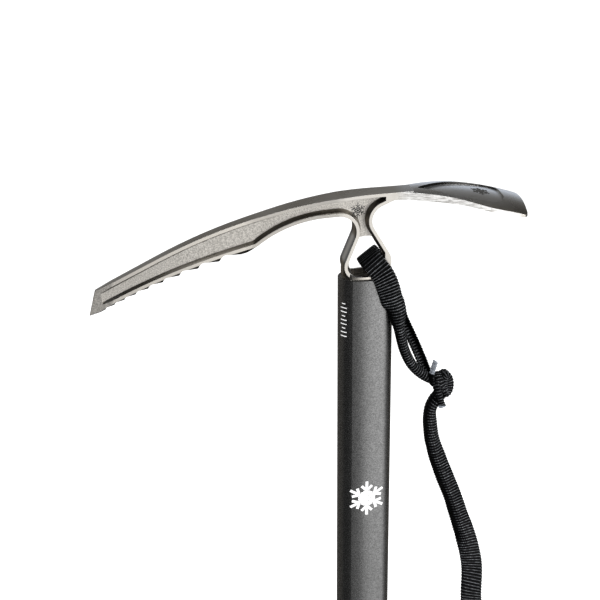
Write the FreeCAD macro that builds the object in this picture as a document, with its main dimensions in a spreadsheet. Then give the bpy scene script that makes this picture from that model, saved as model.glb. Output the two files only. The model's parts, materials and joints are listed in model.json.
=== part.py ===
import FreeCAD, Part
import math
import os
import re
import Sketcher

# Ice axe: a one-piece cast head bonded into an oval aluminium shaft, a cast spike in the
# shaft's other end, and a webbing leash that hangs from the eye in the head's neck.
# Frame: +Z runs up the shaft axis, -X is the pick's side, +X is the adze's side.
# The origin is the spike's tip. Lengths are millimetres, angles are degrees.

V = FreeCAD.Vector
PARTS_FOLDER = "parts"
# the place in an expression where the name of one of the sheet's aliases starts
ALIAS_START = re.compile(r"(?<![\w.])(?=[a-z])")

# Each row is alias, value and what it measures.
SIZES = [
    ("total_length", 600.0, "spike tip to the top of the head"),
    ("shaft_width", 32.5, "shaft section along X"),
    ("shaft_depth", 19.0, "shaft section along Y"),
    ("shaft_broad_radius", 45.0, "arc of the shaft's two broad faces"),
    ("shaft_wall", 1.4, "tube wall"),
    ("shaft_top", 548.0, "height of the tube's upper end"),
    ("shaft_bottom", 92.0, "height of the tube's lower end"),
    ("bond_gap", 0.3, "thickness of the cured adhesive"),
    ("tang_wall", 2.8, "wall of the two hollow tangs"),
    ("head_tang_length", 55.0, "head tang inside the tube"),
    ("spike_tang_length", 45.0, "spike tang inside the tube"),
    ("tang_floor", 6.0, "solid material left between the head tang's hollow and the tube's mouth"),
    # pick and neck, as corners of the side outline with their blend radii
    ("point_x", -160.9, "pick point"),
    ("point_z", 537.9, "pick point"),
    ("nose_x", -157.2, "upper end of the pick's cut-off end"),
    ("nose_z", 553.2, "upper end of the pick's cut-off end"),
    ("shoulder_x", -93.9, "first bend of the pick's back"),
    ("shoulder_z", 583.3, "first bend of the pick's back"),
    ("shoulder_radius", 300.0, "first bend of the pick's back"),
    ("crest_x", -25.6, "where the pick's back meets the level top"),
    ("crest_radius", 256.0, "where the pick's back meets the level top"),
    ("fork_x", 26.9, "where the adze-side edge of the neck meets the top"),
    ("waist_right_x", -1.55, "adze-side edge of the neck, inner bend"),
    ("waist_right_z", 588.5, "adze-side edge of the neck, inner bend"),
    ("waist_right_radius", 9.5, "adze-side edge of the neck, inner bend"),
    ("hip_right_x", 14.3, "adze-side edge of the neck, lower bend"),
    ("hip_right_z", 560.6, "adze-side edge of the neck, lower bend"),
    ("hip_right_radius", 10.0, "adze-side edge of the neck, lower bend"),
    ("hip_left_x", -13.7, "pick-side edge of the neck, lower bend"),
    ("hip_left_z", 558.3, "pick-side edge of the neck, lower bend"),
    ("hip_left_radius", 7.5, "pick-side edge of the neck, lower bend"),
    ("foot_radius", 8.4, "lower corners of the rim round the eye"),
    ("waist_left_x", -1.4, "pick-side edge of the neck, upper bend"),
    ("waist_left_z", 588.9, "pick-side edge of the neck, upper bend"),
    ("waist_left_radius", 10.5, "pick-side edge of the neck, upper bend"),
    ("hollow_x", -46.4, "finger hollow under the pick"),
    ("hollow_z", 587.2, "finger hollow under the pick"),
    ("hollow_radius", 68.0, "finger hollow under the pick"),
    ("hump_x", -68.8, "where the teeth end and the hollow begins"),
    ("hump_z", 569.6, "where the teeth end and the hollow begins"),
    ("hump_radius", 6.2, "where the teeth end and the hollow begins"),
    ("belly_x", -119.0, "middle of the toothed edge"),
    ("belly_z", 556.9, "middle of the toothed edge"),
    ("belly_radius", 355.0, "curve of the toothed edge"),
    ("chin_x", -154.6, "where the point meets the toothed edge"),
    ("chin_z", 539.7, "where the point meets the toothed edge"),
    # thickness of the pick and neck
    ("pick_half_at_axis", 4.8, "pick's half thickness carried to the shaft axis"),
    ("pick_taper", 1.03, "angle of each pick face"),
    ("neck_half", 6.2, "half thickness of the neck"),
    ("point_half", 0.5, "half thickness of the ground point"),
    ("point_grind", 13.0, "length of the ground point"),
    ("point_grind_radius", 8.0, "where the ground point meets the pick's faces"),
    ("plan_hump_radius", 110.0, "bend of the pick's faces over the hump, from above"),
    ("plan_neck_radius", 60.0, "bends of the neck's faces, from above"),
    ("block_spare", 20.0, "spare length on blocks that others trim"),
    ("tooth_bevel", 1.6, "bevel along both sides of the teeth, across the pick"),
    ("bevel_at_point", 1.5, "height of the bevel at the point"),
    ("bevel_at_belly", 2.4, "height of the bevel in the middle of the toothed edge"),
    ("bevel_run", 4.3, "how far the bevel moves the hump along X"),
    ("bevel_climb", 3.38, "how far the bevel moves the hump along Z"),
    # teeth
    ("tooth_count", 9, "gullets between the point and the hump"),
    ("tooth_first_pitch", 5.6, "distance from the point's tooth to the next"),
    ("tooth_growth", 1.125, "each pitch over the one before"),
    ("tooth_land_share", 0.03, "flat on each tooth over pitch"),
    ("gullet_depth_share", 0.28, "gullet corner depth over pitch"),
    ("gullet_corner_share", 0.2, "gullet corner's place over pitch"),
    ("gullet_radius_share", 0.26, "gullet radius over pitch"),
    # the recess in each side that leaves a web between rims
    ("rim_width", 2.0, "flat rim round the recess"),
    ("rim_thinning", 0.3, "how much narrower the rim is at full depth"),
    ("recess_slope", 1.4, "width of the sloping wall inside the rim"),
    ("web_half_at_axis", 1.5, "half thickness of the web at the shaft axis"),
    ("web_taper", 0.33, "angle of each web face"),
    ("recess_start_x", -153.6, "recess end behind the ground point"),
    ("recess_end_x", 10.5, "blunt end of the recess under the adze"),
    ("eye_top", 573.2, "top of the hole through the neck"),
    ("eye_arch_radius", 15.0, "arch at the top of the hole"),
    ("eye_inset", 3.6, "hole's edge inside the neck's outline"),
    ("trough_half_length", 9.2, "pocket in the floor of the eye, along X"),
    ("trough_half_width", 5.9, "pocket in the floor of the eye, along Y"),
    ("trough_depth", 3.4, "pocket in the floor of the eye"),
    ("foot_relief", 0.3, "neck's edges inside the tang's at the tube's mouth"),
    ("collar_height", 24.0, "collar's upper section over the tube's mouth"),
    ("collar_half_depth", 5.2, "collar's upper section, inside the neck's flat sides"),
    ("collar_relief", 0.15, "collar's edges inside the neck's"),
    # adze
    ("adze_reach", 93.2, "shaft axis to the adze's edge"),
    ("adze_bend_x", 62.0, "where the adze's two straight runs meet"),
    ("adze_bend_radius", 184.0, "lengthwise curve of the adze"),
    ("adze_end_z", 588.7, "height of the adze's edge"),
    ("adze_crown_radius", 56.0, "crosswise curve of the adze"),
    ("adze_crown_angle", 56.0, "span of the crown"),
    ("adze_root_x", 8.0, "where the adze's plate starts"),
    ("adze_root_half", 5.5, "half width of the adze's root"),
    ("adze_flare_x", 21.9, "where the adze starts to widen"),
    ("adze_flare_radius", 30.0, "bend where the adze starts to widen"),
    ("adze_side_radius", 45.0, "bend where the adze stops widening"),
    ("adze_corner_radius", 3.0, "corners of the adze's edge"),
    ("adze_edge_radius", 160.0, "curve of the adze's edge, from above"),
    ("adze_half_width", 20.6, "half of the adze's greatest width"),
    ("adze_widest_x", 69.0, "where the adze stops widening"),
    ("adze_end_half", 19.6, "half of the adze's edge"),
    ("adze_corner_setback", 1.9, "how far the edge's corners lie behind its middle"),
    ("adze_thickness", 3.0, "plate thickness where the ground edge starts"),
    ("adze_root_thickness", 4.2, "plate thickness at the neck"),
    ("adze_edge_thickness", 0.8, "plate thickness at the edge"),
    ("adze_bend_drop", 4.7, "underside's bend below the head's top"),
    ("adze_under_radius", 90.0, "lengthwise curve of the adze's underside"),
    ("adze_grind", 13.0, "length of the ground edge"),
    ("palm_start_x", 29.4, "palm recess, pointed end"),
    ("palm_bend_x", 54.4, "palm recess, side bend"),
    ("palm_end_x", 80.4, "palm recess, round end"),
    ("palm_half", 14.0, "palm recess, half width"),
    ("palm_side_radius", 60.0, "palm recess, side curve"),
    ("palm_corner_radius", 9.0, "palm recess, end corners"),
    ("palm_point_radius", 1.0, "palm recess, pointed end"),
    ("palm_spare", 5.0, "spare height and length on the block that cuts the palm recess"),
    ("palm_depth_start", 1.9, "palm recess depth at the pointed end"),
    ("palm_depth_end", 1.0, "palm recess depth at the round end"),
    # pins and rivet
    ("pin_set_back", 0.4, "pin ends below the shaft's surface"),
    ("pin_radius", 2.0, "blind pins through the tube's adze-side end into the tang"),
    ("pin_length", 6.0, "blind pins"),
    ("pin_drop", 16.0, "upper pin below the tube's end"),
    ("pin_pitch", 22.0, "distance between the two pins"),
    ("rivet_radius", 2.5, "spike rivet shank"),
    ("rivet_head_radius", 4.2, "spike rivet heads"),
    ("rivet_head_height", 1.0, "spike rivet heads"),
    ("rivet_rise", 20.0, "spike rivet above the tube's lower end"),
    # spike
    ("spike_tang_floor", 0.5, "solid material in the spike's tang above the tube's mouth"),
    ("spike_shoulder", 6.0, "oval shoulder under the tube"),
    ("spike_waist_z", 62.0, "spike blade's middle section height"),
    ("spike_waist_half_width", 12.0, "spike blade's middle section"),
    ("spike_waist_half_depth", 5.2, "spike blade's middle section"),
    ("spike_low_z", 22.0, "spike blade's lower section height"),
    ("spike_low_half_width", 5.6, "spike blade's lower section"),
    ("spike_low_half_depth", 4.0, "spike blade's lower section"),
    ("spike_low_broad", 9.0, "curve of the spike blade's lower faces"),
    ("spike_tip_half", 0.6, "spike's tip"),
    ("spike_eye_radius", 6.5, "hole through the spike"),
    ("spike_eye_z", 66.0, "hole through the spike"),
    # leash
    ("webbing_width", 12.5, "leash webbing"),
    ("webbing_thickness", 1.6, "leash webbing"),
    ("ply_gap", 0.3, "space between the two plies of the leash"),
    ("eye_cross_lean", 37.0, "lean of the webbing where it passes through the eye"),
    ("knot_x", 49.6, "centre of the knot"),
    ("knot_z", 472.0, "centre of the knot"),
    ("knot_half_x", 6.8, "knot"),
    ("knot_half_y", 8.5, "knot"),
    ("knot_half_z", 10.2, "knot"),
    ("tail_width", 7.0, "free ends of the webbing at the knot"),
    ("tail_length", 8.5, "free ends of the webbing at the knot"),
    ("tail_tuck", 1.0, "how far the free ends reach into the knot's outline"),
    ("tail_lean", 20.0, "lean of the upper free end"),
    ("tether_top_x", 42.6, "upper end of the doubled webbing"),
    ("tether_top_z", 461.0, "upper end of the doubled webbing"),
    ("tether_upper_bend_x", 40.2, "upper bend of the doubled webbing"),
    ("tether_upper_bend_z", 441.0, "upper bend of the doubled webbing"),
    ("tether_upper_radius", 40.0, "upper bend of the doubled webbing"),
    ("tether_lower_bend_x", 69.0, "lower bend of the doubled webbing"),
    ("tether_lower_bend_z", 354.5, "lower bend of the doubled webbing"),
    ("tether_lower_radius", 60.0, "lower bend of the doubled webbing"),
    ("tether_end_x", 73.7, "lower end of the doubled webbing"),
    ("tether_end_z", 288.0, "lower end of the doubled webbing"),
    ("slider_length", 16.0, "slider along the leash"),
    ("slider_wall", 2.2, "slider wall"),
    ("slider_clearance", 0.35, "slider to webbing"),
    ("slider_rise", 12.0, "slider centre above the doubled webbing's lower end"),
    ("wrist_gap", 0.2, "space between the doubled webbing and the wrist loop"),
    ("loop_length", 150.0, "wrist loop below the doubled webbing"),
    ("loop_half", 31.0, "half of the wrist loop's opening along Y"),
    ("loop_shoulder", 78.0, "where the wrist loop reaches its full width"),
    ("loop_throat", 8.0, "where the two sides of the wrist loop part"),
    ("loop_throat_radius", 25.0, "wrist loop, where its sides part"),
    ("loop_shoulder_radius", 60.0, "wrist loop, sides"),
    ("loop_foot_radius", 29.0, "wrist loop, lower end"),
]


def make_sheet(doc):
    sheet = doc.addObject("Spreadsheet::Sheet", "Sizes")
    for row, (alias, value, note) in enumerate(SIZES, start=1):
        sheet.set("A%d" % row, alias)
        sheet.set("B%d" % row, str(value))
        sheet.setAlias("B%d" % row, alias)
        sheet.set("C%d" % row, note)
    doc.recompute()
    return sheet


doc = FreeCAD.newDocument("ice_axe")
sheet = make_sheet(doc)
probe = doc.addObject("App::FeaturePython", "probe")
probe.addProperty("App::PropertyFloat", "Value")


def tie(target, path, expression):
    """Binds a property to an expression written in the sheet's aliases."""
    target.setExpression(path, ALIAS_START.sub("Sizes.", expression))


def size(expression):
    """Value of an expression written in the sheet's aliases."""
    tie(probe, "Value", expression)
    probe.recompute()
    return probe.Value


def upright(y=0.0, turn=0.0):
    """Placement of a drawing whose x is X and whose y is Z, at depth y, turned about Z."""
    stand = FreeCAD.Rotation(V(1, 0, 0), 90)
    about_z = FreeCAD.Rotation(V(0, 0, 1), turn)
    return FreeCAD.Placement(V(0, y, 0), about_z * stand)


# ------------------------------------------------------------------ outlines

def rounded_wire(corners, placement=None):
    """Closed wire through (x, y, radius) corners, each rounded with its radius."""
    points = [V(x, y, 0) for x, y, radius in corners]
    count = len(points)
    ends = []
    arcs = []
    for i, (x, y, radius) in enumerate(corners):
        here = points[i]
        to_last = (points[i - 1] - here).normalize()
        to_next = (points[(i + 1) % count] - here).normalize()
        if radius <= 0:
            ends.append((here, here))
            arcs.append(None)
            continue
        half_angle = to_last.getAngle(to_next) / 2
        reach = radius / math.tan(half_angle)
        bisector = (to_last + to_next).normalize()
        middle = here + bisector * (radius / math.sin(half_angle) - radius)
        start = here + to_last * reach
        end = here + to_next * reach
        ends.append((start, end))
        arcs.append(Part.Arc(start, middle, end).toShape())
    edges = []
    for i in range(count):
        if arcs[i]:
            edges.append(arcs[i])
        edges.append(Part.makeLine(ends[i][1], ends[(i + 1) % count][0]))
    wire = Part.Wire(edges)
    if placement:
        wire.Placement = placement
    return wire


def head_corners(rise, foot_radius):
    """Side outline of pick and neck; rise lifts the toothed edge by that share of its bevel."""
    top = size("total_length")
    low_bevel = size("bevel_at_point") * rise
    middle_bevel = size("bevel_at_belly") * rise
    run = size("bevel_run") * rise
    climb = size("bevel_climb") * rise
    foot_half = size("shaft_width / 2 - shaft_wall - bond_gap - foot_relief")
    return [
        (size("point_x"), size("point_z") + low_bevel, 0),
        (size("nose_x"), size("nose_z"), 0),
        (size("shoulder_x"), size("shoulder_z"), size("shoulder_radius")),
        (size("crest_x"), top, size("crest_radius")),
        (size("fork_x"), top, 0),
        (size("waist_right_x"), size("waist_right_z"), size("waist_right_radius")),
        (size("hip_right_x"), size("hip_right_z"), size("hip_right_radius")),
        (foot_half, size("shaft_top"), foot_radius),
        (-foot_half, size("shaft_top"), foot_radius),
        (size("hip_left_x"), size("hip_left_z"), size("hip_left_radius")),
        (size("waist_left_x"), size("waist_left_z"), size("waist_left_radius")),
        (size("hollow_x"), size("hollow_z"), size("hollow_radius")),
        (size("hump_x") + run, size("hump_z") + climb, size("hump_radius")),
        (size("belly_x"), size("belly_z") + middle_bevel, size("belly_radius")),
        (size("chin_x"), size("chin_z") + low_bevel, 0),
    ]


def inset_corners(corners, inset):
    """The same clockwise outline with every side moved inwards by inset."""
    count = len(corners)
    points = [V(x, y, 0) for x, y, radius in corners]
    moved = []
    for i, (x, y, radius) in enumerate(corners):
        before = (points[i] - points[i - 1]).normalize()
        after = (points[(i + 1) % count] - points[i]).normalize()
        inwards_before = V(before.y, -before.x, 0)
        inwards_after = V(after.y, -after.x, 0)
        share = inset / (1 + inwards_before.dot(inwards_after))
        corner = points[i] + (inwards_before + inwards_after) * share
        turns_right = before.cross(after).z < 0
        if radius > 0:
            radius = radius - inset if turns_right else radius + inset
        moved.append((corner.x, corner.y, radius))
    return moved


# ------------------------------------------------------------------ document helpers

def add_shape(name, shape):
    feature = doc.addObject("Part::Feature", name)
    feature.Shape = shape
    feature.Placement = FreeCAD.Placement()
    return feature


def add_boolean(kind, name, *sources):
    feature = doc.addObject("Part::" + kind, name)
    if kind == "Compound":
        feature.Links = list(sources)
        return feature
    if kind == "MultiFuse":
        feature.Shapes = list(sources)
    else:
        feature.Base, feature.Tool = sources
    feature.Refine = True
    return feature


def add_body(name):
    body = doc.addObject("PartDesign::Body", name)
    body.Label = name
    return body


def origin_plane(body, role):
    for item in body.Origin.OriginFeatures:
        if item.Role == role:
            return item
    raise ValueError("no plane " + role)


def add_sketch(body, name, role, offset=None):
    """Sketch on one of the body's origin planes; offset is an expression along its normal."""
    sketch = body.newObject("Sketcher::SketchObject", name)
    sketch.AttachmentSupport = [(origin_plane(body, role), "")]
    sketch.MapMode = "FlatFace"
    if offset:
        tie(sketch, ".AttachmentOffset.Base.z", offset)
    return sketch


def bind(sketch, constraint, expression):
    """Adds a dimension to the sketch and ties it to the sheet."""
    kind = constraint[0]
    index = sketch.addConstraint(Sketcher.Constraint(kind, *constraint[1:], size(expression)))
    tie(sketch, "Constraints[%d]" % index, expression)


def add_outline(sketch, corners):
    """Draws the rounded outline of (x, y, radius) corners in a sketch."""
    for edge in rounded_wire(corners).Edges:
        if isinstance(edge.Curve, Part.Circle):
            sketch.addGeometry(Part.ArcOfCircle(edge.Curve, *edge.ParameterRange))
        else:
            start, end = [vertex.Point for vertex in edge.Vertexes]
            sketch.addGeometry(Part.LineSegment(start, end))


def add_oval(sketch, half_x, half_y, broad):
    """Oval of two broad arcs joined by two end arcs, all given as expressions."""
    end = "((%s^2 - (%s - %s)^2 - %s^2) / (2 * (%s - %s)))" % (
        broad, broad, half_y, half_x, broad, half_x)
    broad_radius = size(broad)
    end_radius = size(end)
    broad_centre = broad_radius - size(half_y)
    end_centre = size(half_x) - end_radius
    lean = math.atan2(end_centre, broad_centre)
    quarter = math.pi / 2
    arcs = [
        (V(0, -broad_centre, 0), broad_radius, quarter - lean, quarter + lean),
        (V(-end_centre, 0, 0), end_radius, quarter + lean, 3 * quarter - lean),
        (V(0, broad_centre, 0), broad_radius, 3 * quarter - lean, 3 * quarter + lean),
        (V(end_centre, 0, 0), end_radius, -quarter + lean, quarter - lean),
    ]
    for centre, radius, start, stop in arcs:
        circle = Part.Circle(centre, V(0, 0, 1), radius)
        sketch.addGeometry(Part.ArcOfCircle(circle, start, stop))
    for arc in range(4):
        following = (arc + 1) % 4
        sketch.addConstraint(Sketcher.Constraint("Tangent", arc, 2, following, 1))
    bind(sketch, ("Radius", 0), broad)
    bind(sketch, ("Radius", 1), end)
    bind(sketch, ("Radius", 2), broad)
    bind(sketch, ("Radius", 3), end)
    bind(sketch, ("DistanceX", -1, 1, 0, 3), "0")
    bind(sketch, ("DistanceX", -1, 1, 2, 3), "0")
    bind(sketch, ("DistanceY", 0, 3, -1, 1), "%s - %s" % (broad, half_y))
    bind(sketch, ("DistanceY", -1, 1, 2, 3), "%s - %s" % (broad, half_y))


def add_shaft_oval(sketch, inset="0"):
    """The shaft's section moved inwards by inset."""
    add_oval(sketch,
             "(shaft_width / 2 - (%s))" % inset,
             "(shaft_depth / 2 - (%s))" % inset,
             "(shaft_broad_radius - (%s))" % inset)


def add_rectangle(sketch, x_low, x_high, y_low, y_high):
    """Rectangle whose sides are four expressions."""
    left, right, low, high = [size(side) for side in (x_low, x_high, y_low, y_high)]
    corners = [V(left, low, 0), V(right, low, 0), V(right, high, 0), V(left, high, 0)]
    for i in range(4):
        sketch.addGeometry(Part.LineSegment(corners[i], corners[(i + 1) % 4]))
    for i in range(4):
        sketch.addConstraint(Sketcher.Constraint("Coincident", i, 2, (i + 1) % 4, 1))
        sketch.addConstraint(Sketcher.Constraint("Vertical" if i % 2 else "Horizontal", i))
    bind(sketch, ("DistanceX", -1, 1, 0, 1), x_low)
    bind(sketch, ("DistanceX", -1, 1, 1, 1), x_high)
    bind(sketch, ("DistanceY", -1, 1, 0, 1), y_low)
    bind(sketch, ("DistanceY", -1, 1, 2, 1), y_high)


def add_circle(sketch, x, y, radius):
    sketch.addGeometry(Part.Circle(V(size(x), size(y), 0), V(0, 0, 1), size(radius)))
    bind(sketch, ("DistanceX", -1, 1, 0, 3), x)
    bind(sketch, ("DistanceY", -1, 1, 0, 3), y)
    bind(sketch, ("Radius", 0), radius)


def add_pad(body, name, sketch, length, both_ways=False, reversed_way=False):
    pad = body.newObject("PartDesign::Pad", name)
    pad.Profile = sketch
    tie(pad, "Length", length)
    pad.Midplane = both_ways
    pad.Reversed = reversed_way
    doc.recompute()
    return pad


def add_pocket(body, name, sketch, length, both_ways=False, reversed_way=False):
    """Pocket that has to take material away."""
    doc.recompute()
    before = body.Shape.Volume
    pocket = body.newObject("PartDesign::Pocket", name)
    pocket.Profile = sketch
    tie(pocket, "Length", length)
    pocket.Midplane = both_ways
    pocket.Reversed = reversed_way
    doc.recompute()
    if body.Shape.Volume >= before:
        raise ValueError(name + " cuts nothing")
    return pocket


# ------------------------------------------------------------------ head

TANG_INSET = "shaft_wall + bond_gap"


def plan_pad():
    """Upright block with the pick's and neck's shape as seen from above."""
    body = add_body("plan_block")
    sketch = add_sketch(body, "plan_outline", "XY_Plane", "shaft_top - block_spare")
    slope = math.tan(math.radians(size("pick_taper")))
    half_at_axis = size("pick_half_at_axis")
    grind_end = size("point_x + point_grind")
    hump = size("hump_x")
    one_side = [
        (size("point_x - 1"), size("point_half"), 0),
        (grind_end, half_at_axis + slope * grind_end, size("point_grind_radius")),
        (hump, half_at_axis + slope * hump, size("plan_hump_radius")),
        (size("hollow_x / 3"), size("neck_half"), size("plan_neck_radius")),
        (size("hip_right_x"), size("adze_root_half"), size("plan_neck_radius")),
        (size("fork_x"), size("adze_root_half"), 0),
    ]
    other_side = [(x, -half, radius) for x, half, radius in reversed(one_side)]
    add_outline(sketch, one_side + other_side)
    add_pad(body, "plan_pad", sketch, "total_length - shaft_top + 2 * block_spare")
    return body


def side_loft():
    """Pick and neck between six side outlines; the inner two reach down to the teeth."""
    rim = head_corners(1, size("foot_radius"))
    teeth = head_corners(0, size("foot_radius"))
    outer = size("shaft_depth")
    half = size("pick_half_at_axis")
    inner = half - size("tooth_bevel")
    taper = size("pick_taper")
    sections = [
        (rim, -outer, 0),
        (rim, -half, -taper),
        (teeth, -inner, -taper),
        (teeth, inner, taper),
        (rim, half, taper),
        (rim, outer, 0),
    ]
    wires = [rounded_wire(corners, upright(y, turn)) for corners, y, turn in sections]
    return add_shape("side_loft", Part.makeLoft(wires, True, True))


def tooth_tips():
    """Tips along the toothed edge, from the point towards the hump."""
    corners = head_corners(0, 0)
    hump, belly, chin = [V(x, y, 0) for x, y, radius in corners[-3:]]
    radius = size("belly_radius")
    to_chin = (chin - belly).normalize()
    to_hump = (hump - belly).normalize()
    half_angle = to_chin.getAngle(to_hump) / 2
    centre = belly + (to_chin + to_hump).normalize() * (radius / math.sin(half_angle))
    tips = []
    pitch = size("tooth_first_pitch")
    angle = math.asin((chin.x + pitch / 2 - centre.x) / radius)
    for i in range(int(size("tooth_count")) + 1):
        tips.append(centre + V(math.sin(angle), math.cos(angle), 0) * radius)
        angle += pitch / radius
        pitch *= size("tooth_growth")
    return tips


def gullets():
    """One prism per gullet: steep behind each tooth, shallow towards the next."""
    tips = tooth_tips()
    depth = size("shaft_depth")
    prisms = []
    for tip, following in zip(tips, tips[1:]):
        along = following - tip
        pitch = along.Length
        along.normalize()
        inwards = V(-along.y, along.x, 0)
        land = along * (pitch * size("tooth_land_share"))
        corner = tip + along * (pitch * size("gullet_corner_share"))
        corner += inwards * (pitch * size("gullet_depth_share"))
        start = tip + land
        stop = following - land
        outline = [
            (start.x, start.y, 0),
            (corner.x, corner.y, pitch * size("gullet_radius_share")),
            (stop.x, stop.y, 0),
            (stop.x - inwards.x, stop.y - inwards.y, 0),
            (start.x - inwards.x, start.y - inwards.y, 0),
        ]
        face = Part.Face(rounded_wire(outline, upright(depth)))
        prisms.append(face.extrude(V(0, -2 * depth, 0)))
    return add_shape("gullets", Part.Compound(prisms))


def collar():
    """Oval foot of the neck, narrowing from the tube's mouth into the neck's flat sides."""
    body = add_body("collar")
    foot_sketch = add_sketch(body, "collar_foot", "XY_Plane", "shaft_top")
    add_shaft_oval(foot_sketch, TANG_INSET)
    neck_sketch = add_sketch(body, "collar_neck", "XY_Plane",
                             "shaft_top + collar_height")
    add_oval(neck_sketch, "(shaft_width / 2)", "collar_half_depth",
             "shaft_broad_radius")
    doc.recompute()
    loft = body.newObject("PartDesign::AdditiveLoft", "collar_loft")
    loft.Profile = foot_sketch
    loft.Sections = [neck_sketch]
    loft.Ruled = True
    doc.recompute()
    return body


def neck_sides():
    """Prism that trims the collar to just inside the neck's edges, with a square foot."""
    corners = inset_corners(head_corners(1, 0), size("collar_relief"))
    wire = rounded_wire(corners, upright(size("shaft_depth")))
    return add_shape("neck_sides", Part.Face(wire).extrude(V(0, -2 * size("shaft_depth"), 0)))


def add_tang(body, name, mouth, length, floor, upwards):
    """Hollow oval tang that starts at the tube's mouth; floor is left solid at that end."""
    outside = add_sketch(body, name + "_outside", "XY_Plane", mouth)
    add_shaft_oval(outside, TANG_INSET)
    add_pad(body, name + "_pad", outside, length, reversed_way=not upwards)
    sign = "+" if upwards else "-"
    hollow = add_sketch(body, name + "_hollow", "XY_Plane",
                        "%s %s (%s)" % (mouth, sign, floor))
    add_shaft_oval(hollow, TANG_INSET + " + tang_wall")
    add_pocket(body, name + "_hollow_pocket", hollow, length + " - " + floor,
               reversed_way=upwards)


def head_tang():
    body = add_body("head_tang")
    add_tang(body, "head_tang", "shaft_top", "head_tang_length",
             "tang_floor", upwards=False)
    return body


def recess_tool(side):
    """Sloping-walled pocket in one side of the pick and neck; side is -1 or 1 along Y."""
    rim = size("rim_width")
    base = head_corners(1, size("foot_radius"))
    planes = [
        (rim + size("recess_slope"), size("web_half_at_axis"), size("web_taper")),
        (rim, size("pick_half_at_axis"), size("pick_taper")),
        (rim - size("rim_thinning"), size("shaft_depth / 2 + 1"), 0),
    ]
    wires = []
    for inset, half, taper in planes:
        corners = inset_corners(base, inset)
        wires.append(rounded_wire(corners, upright(side * half, side * taper)))
    tool = Part.makeLoft(wires, True, True)
    length = size("recess_end_x - recess_start_x")
    limits = Part.makeBox(length, size("shaft_width"), size("total_length"),
                          V(size("recess_start_x"), size("-shaft_width / 2"), 0))
    return tool.common(limits)


def recesses():
    return add_shape("recesses", Part.Compound([recess_tool(-1), recess_tool(1)]))


def eye():
    """Hole through the neck, with its edge further in than the recess's sloping wall."""
    wire = rounded_wire(inset_corners(head_corners(1, size("foot_radius")), size("eye_inset")),
                        upright(size("shaft_depth")))
    prism = Part.Face(wire).extrude(V(0, -2 * size("shaft_depth"), 0))
    arch = Part.makeCylinder(size("eye_arch_radius"), size("4 * shaft_depth"),
                             V(0, size("-2 * shaft_depth"), size("eye_top - eye_arch_radius")),
                             V(0, 1, 0))
    return add_shape("eye", prism.common(arch))


def trough():
    """Pocket in the eye's floor between its two rims."""
    body = add_body("trough")
    sketch = add_sketch(body, "trough_outline", "XY_Plane",
                        "shaft_top + rim_width - trough_depth")
    add_rectangle(sketch, "-trough_half_length", "trough_half_length",
                  "-trough_half_width", "trough_half_width")
    add_pad(body, "trough_pad", sketch, "trough_depth + foot_radius / 2")
    return body


def crowned_body(name, corners):
    """Side strip of the adze turned about an axis that lies along X under its top."""
    body = add_body(name)
    sketch = add_sketch(body, name + "_strip", "XZ_Plane")
    add_outline(sketch, corners)
    axis_height = size("total_length - adze_crown_radius")
    axis = sketch.addGeometry(Part.LineSegment(V(0, axis_height, 0), V(1, axis_height, 0)), True)
    bind(sketch, ("DistanceY", -1, 1, axis, 1), "total_length - adze_crown_radius")
    bind(sketch, ("DistanceY", -1, 1, axis, 2), "total_length - adze_crown_radius")
    doc.recompute()
    turned = body.newObject("PartDesign::Revolution", name + "_turned")
    turned.Profile = sketch
    turned.ReferenceAxis = (sketch, ["Axis0"])
    tie(turned, "Angle", "adze_crown_angle")
    turned.Midplane = True
    doc.recompute()
    return body


def adze_plate():
    top = size("total_length")
    bend_x = size("adze_bend_x")
    radius = size("adze_bend_radius")
    reach = size("adze_reach")
    end_z = size("adze_end_z")
    fall = (top - end_z) / (reach - bend_x)
    thickness = size("adze_thickness")
    grind_x = size("adze_reach - adze_grind")
    grind_z = end_z + fall * size("adze_grind") - thickness
    root_x = size("adze_root_x")
    root_z = size("total_length - adze_root_thickness")
    corners = [
        (root_x, top, 0),
        (bend_x, top, radius),
        (reach, end_z, 0),
        (reach, end_z - size("adze_edge_thickness"), 0),
        (grind_x, grind_z, 0),
        (bend_x, top - size("adze_bend_drop"), size("adze_under_radius")),
        (root_x, root_z, 0),
    ]
    return crowned_body("adze_plate", corners)


def adze_plan():
    """Adze's outline from above."""
    body = add_body("adze_outline_block")
    sketch = add_sketch(body, "adze_outline", "XY_Plane", "shaft_top")
    one_side = [
        (size("adze_root_x"), size("adze_root_half"), 0),
        (size("adze_flare_x"), size("adze_root_half"), size("adze_flare_radius")),
        (size("adze_widest_x"), size("adze_half_width"), size("adze_side_radius")),
        (size("adze_reach - adze_corner_setback"), size("adze_end_half"),
         size("adze_corner_radius")),
        (size("adze_reach"), 0, size("adze_edge_radius")),
    ]
    other_side = [(x, -half, radius) for x, half, radius in reversed(one_side[:-1])]
    add_outline(sketch, one_side + other_side)
    add_pad(body, "adze_outline_pad", sketch, "total_length - shaft_top + block_spare")
    return body


def palm_floor():
    """Everything above the floor of the palm recess."""
    top = size("total_length")
    start = size("palm_start_x - palm_spare")
    reach = size("adze_reach")
    corners = [
        (start, top - size("palm_depth_start"), 0),
        (size("adze_bend_x"), top - size("palm_depth_start + palm_depth_end") / 2,
         size("adze_bend_radius")),
        (reach, size("adze_end_z - palm_depth_end"), 0),
        (reach, top + size("palm_spare"), 0),
        (start, top + size("palm_spare"), 0),
    ]
    return crowned_body("palm_floor", corners)


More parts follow.
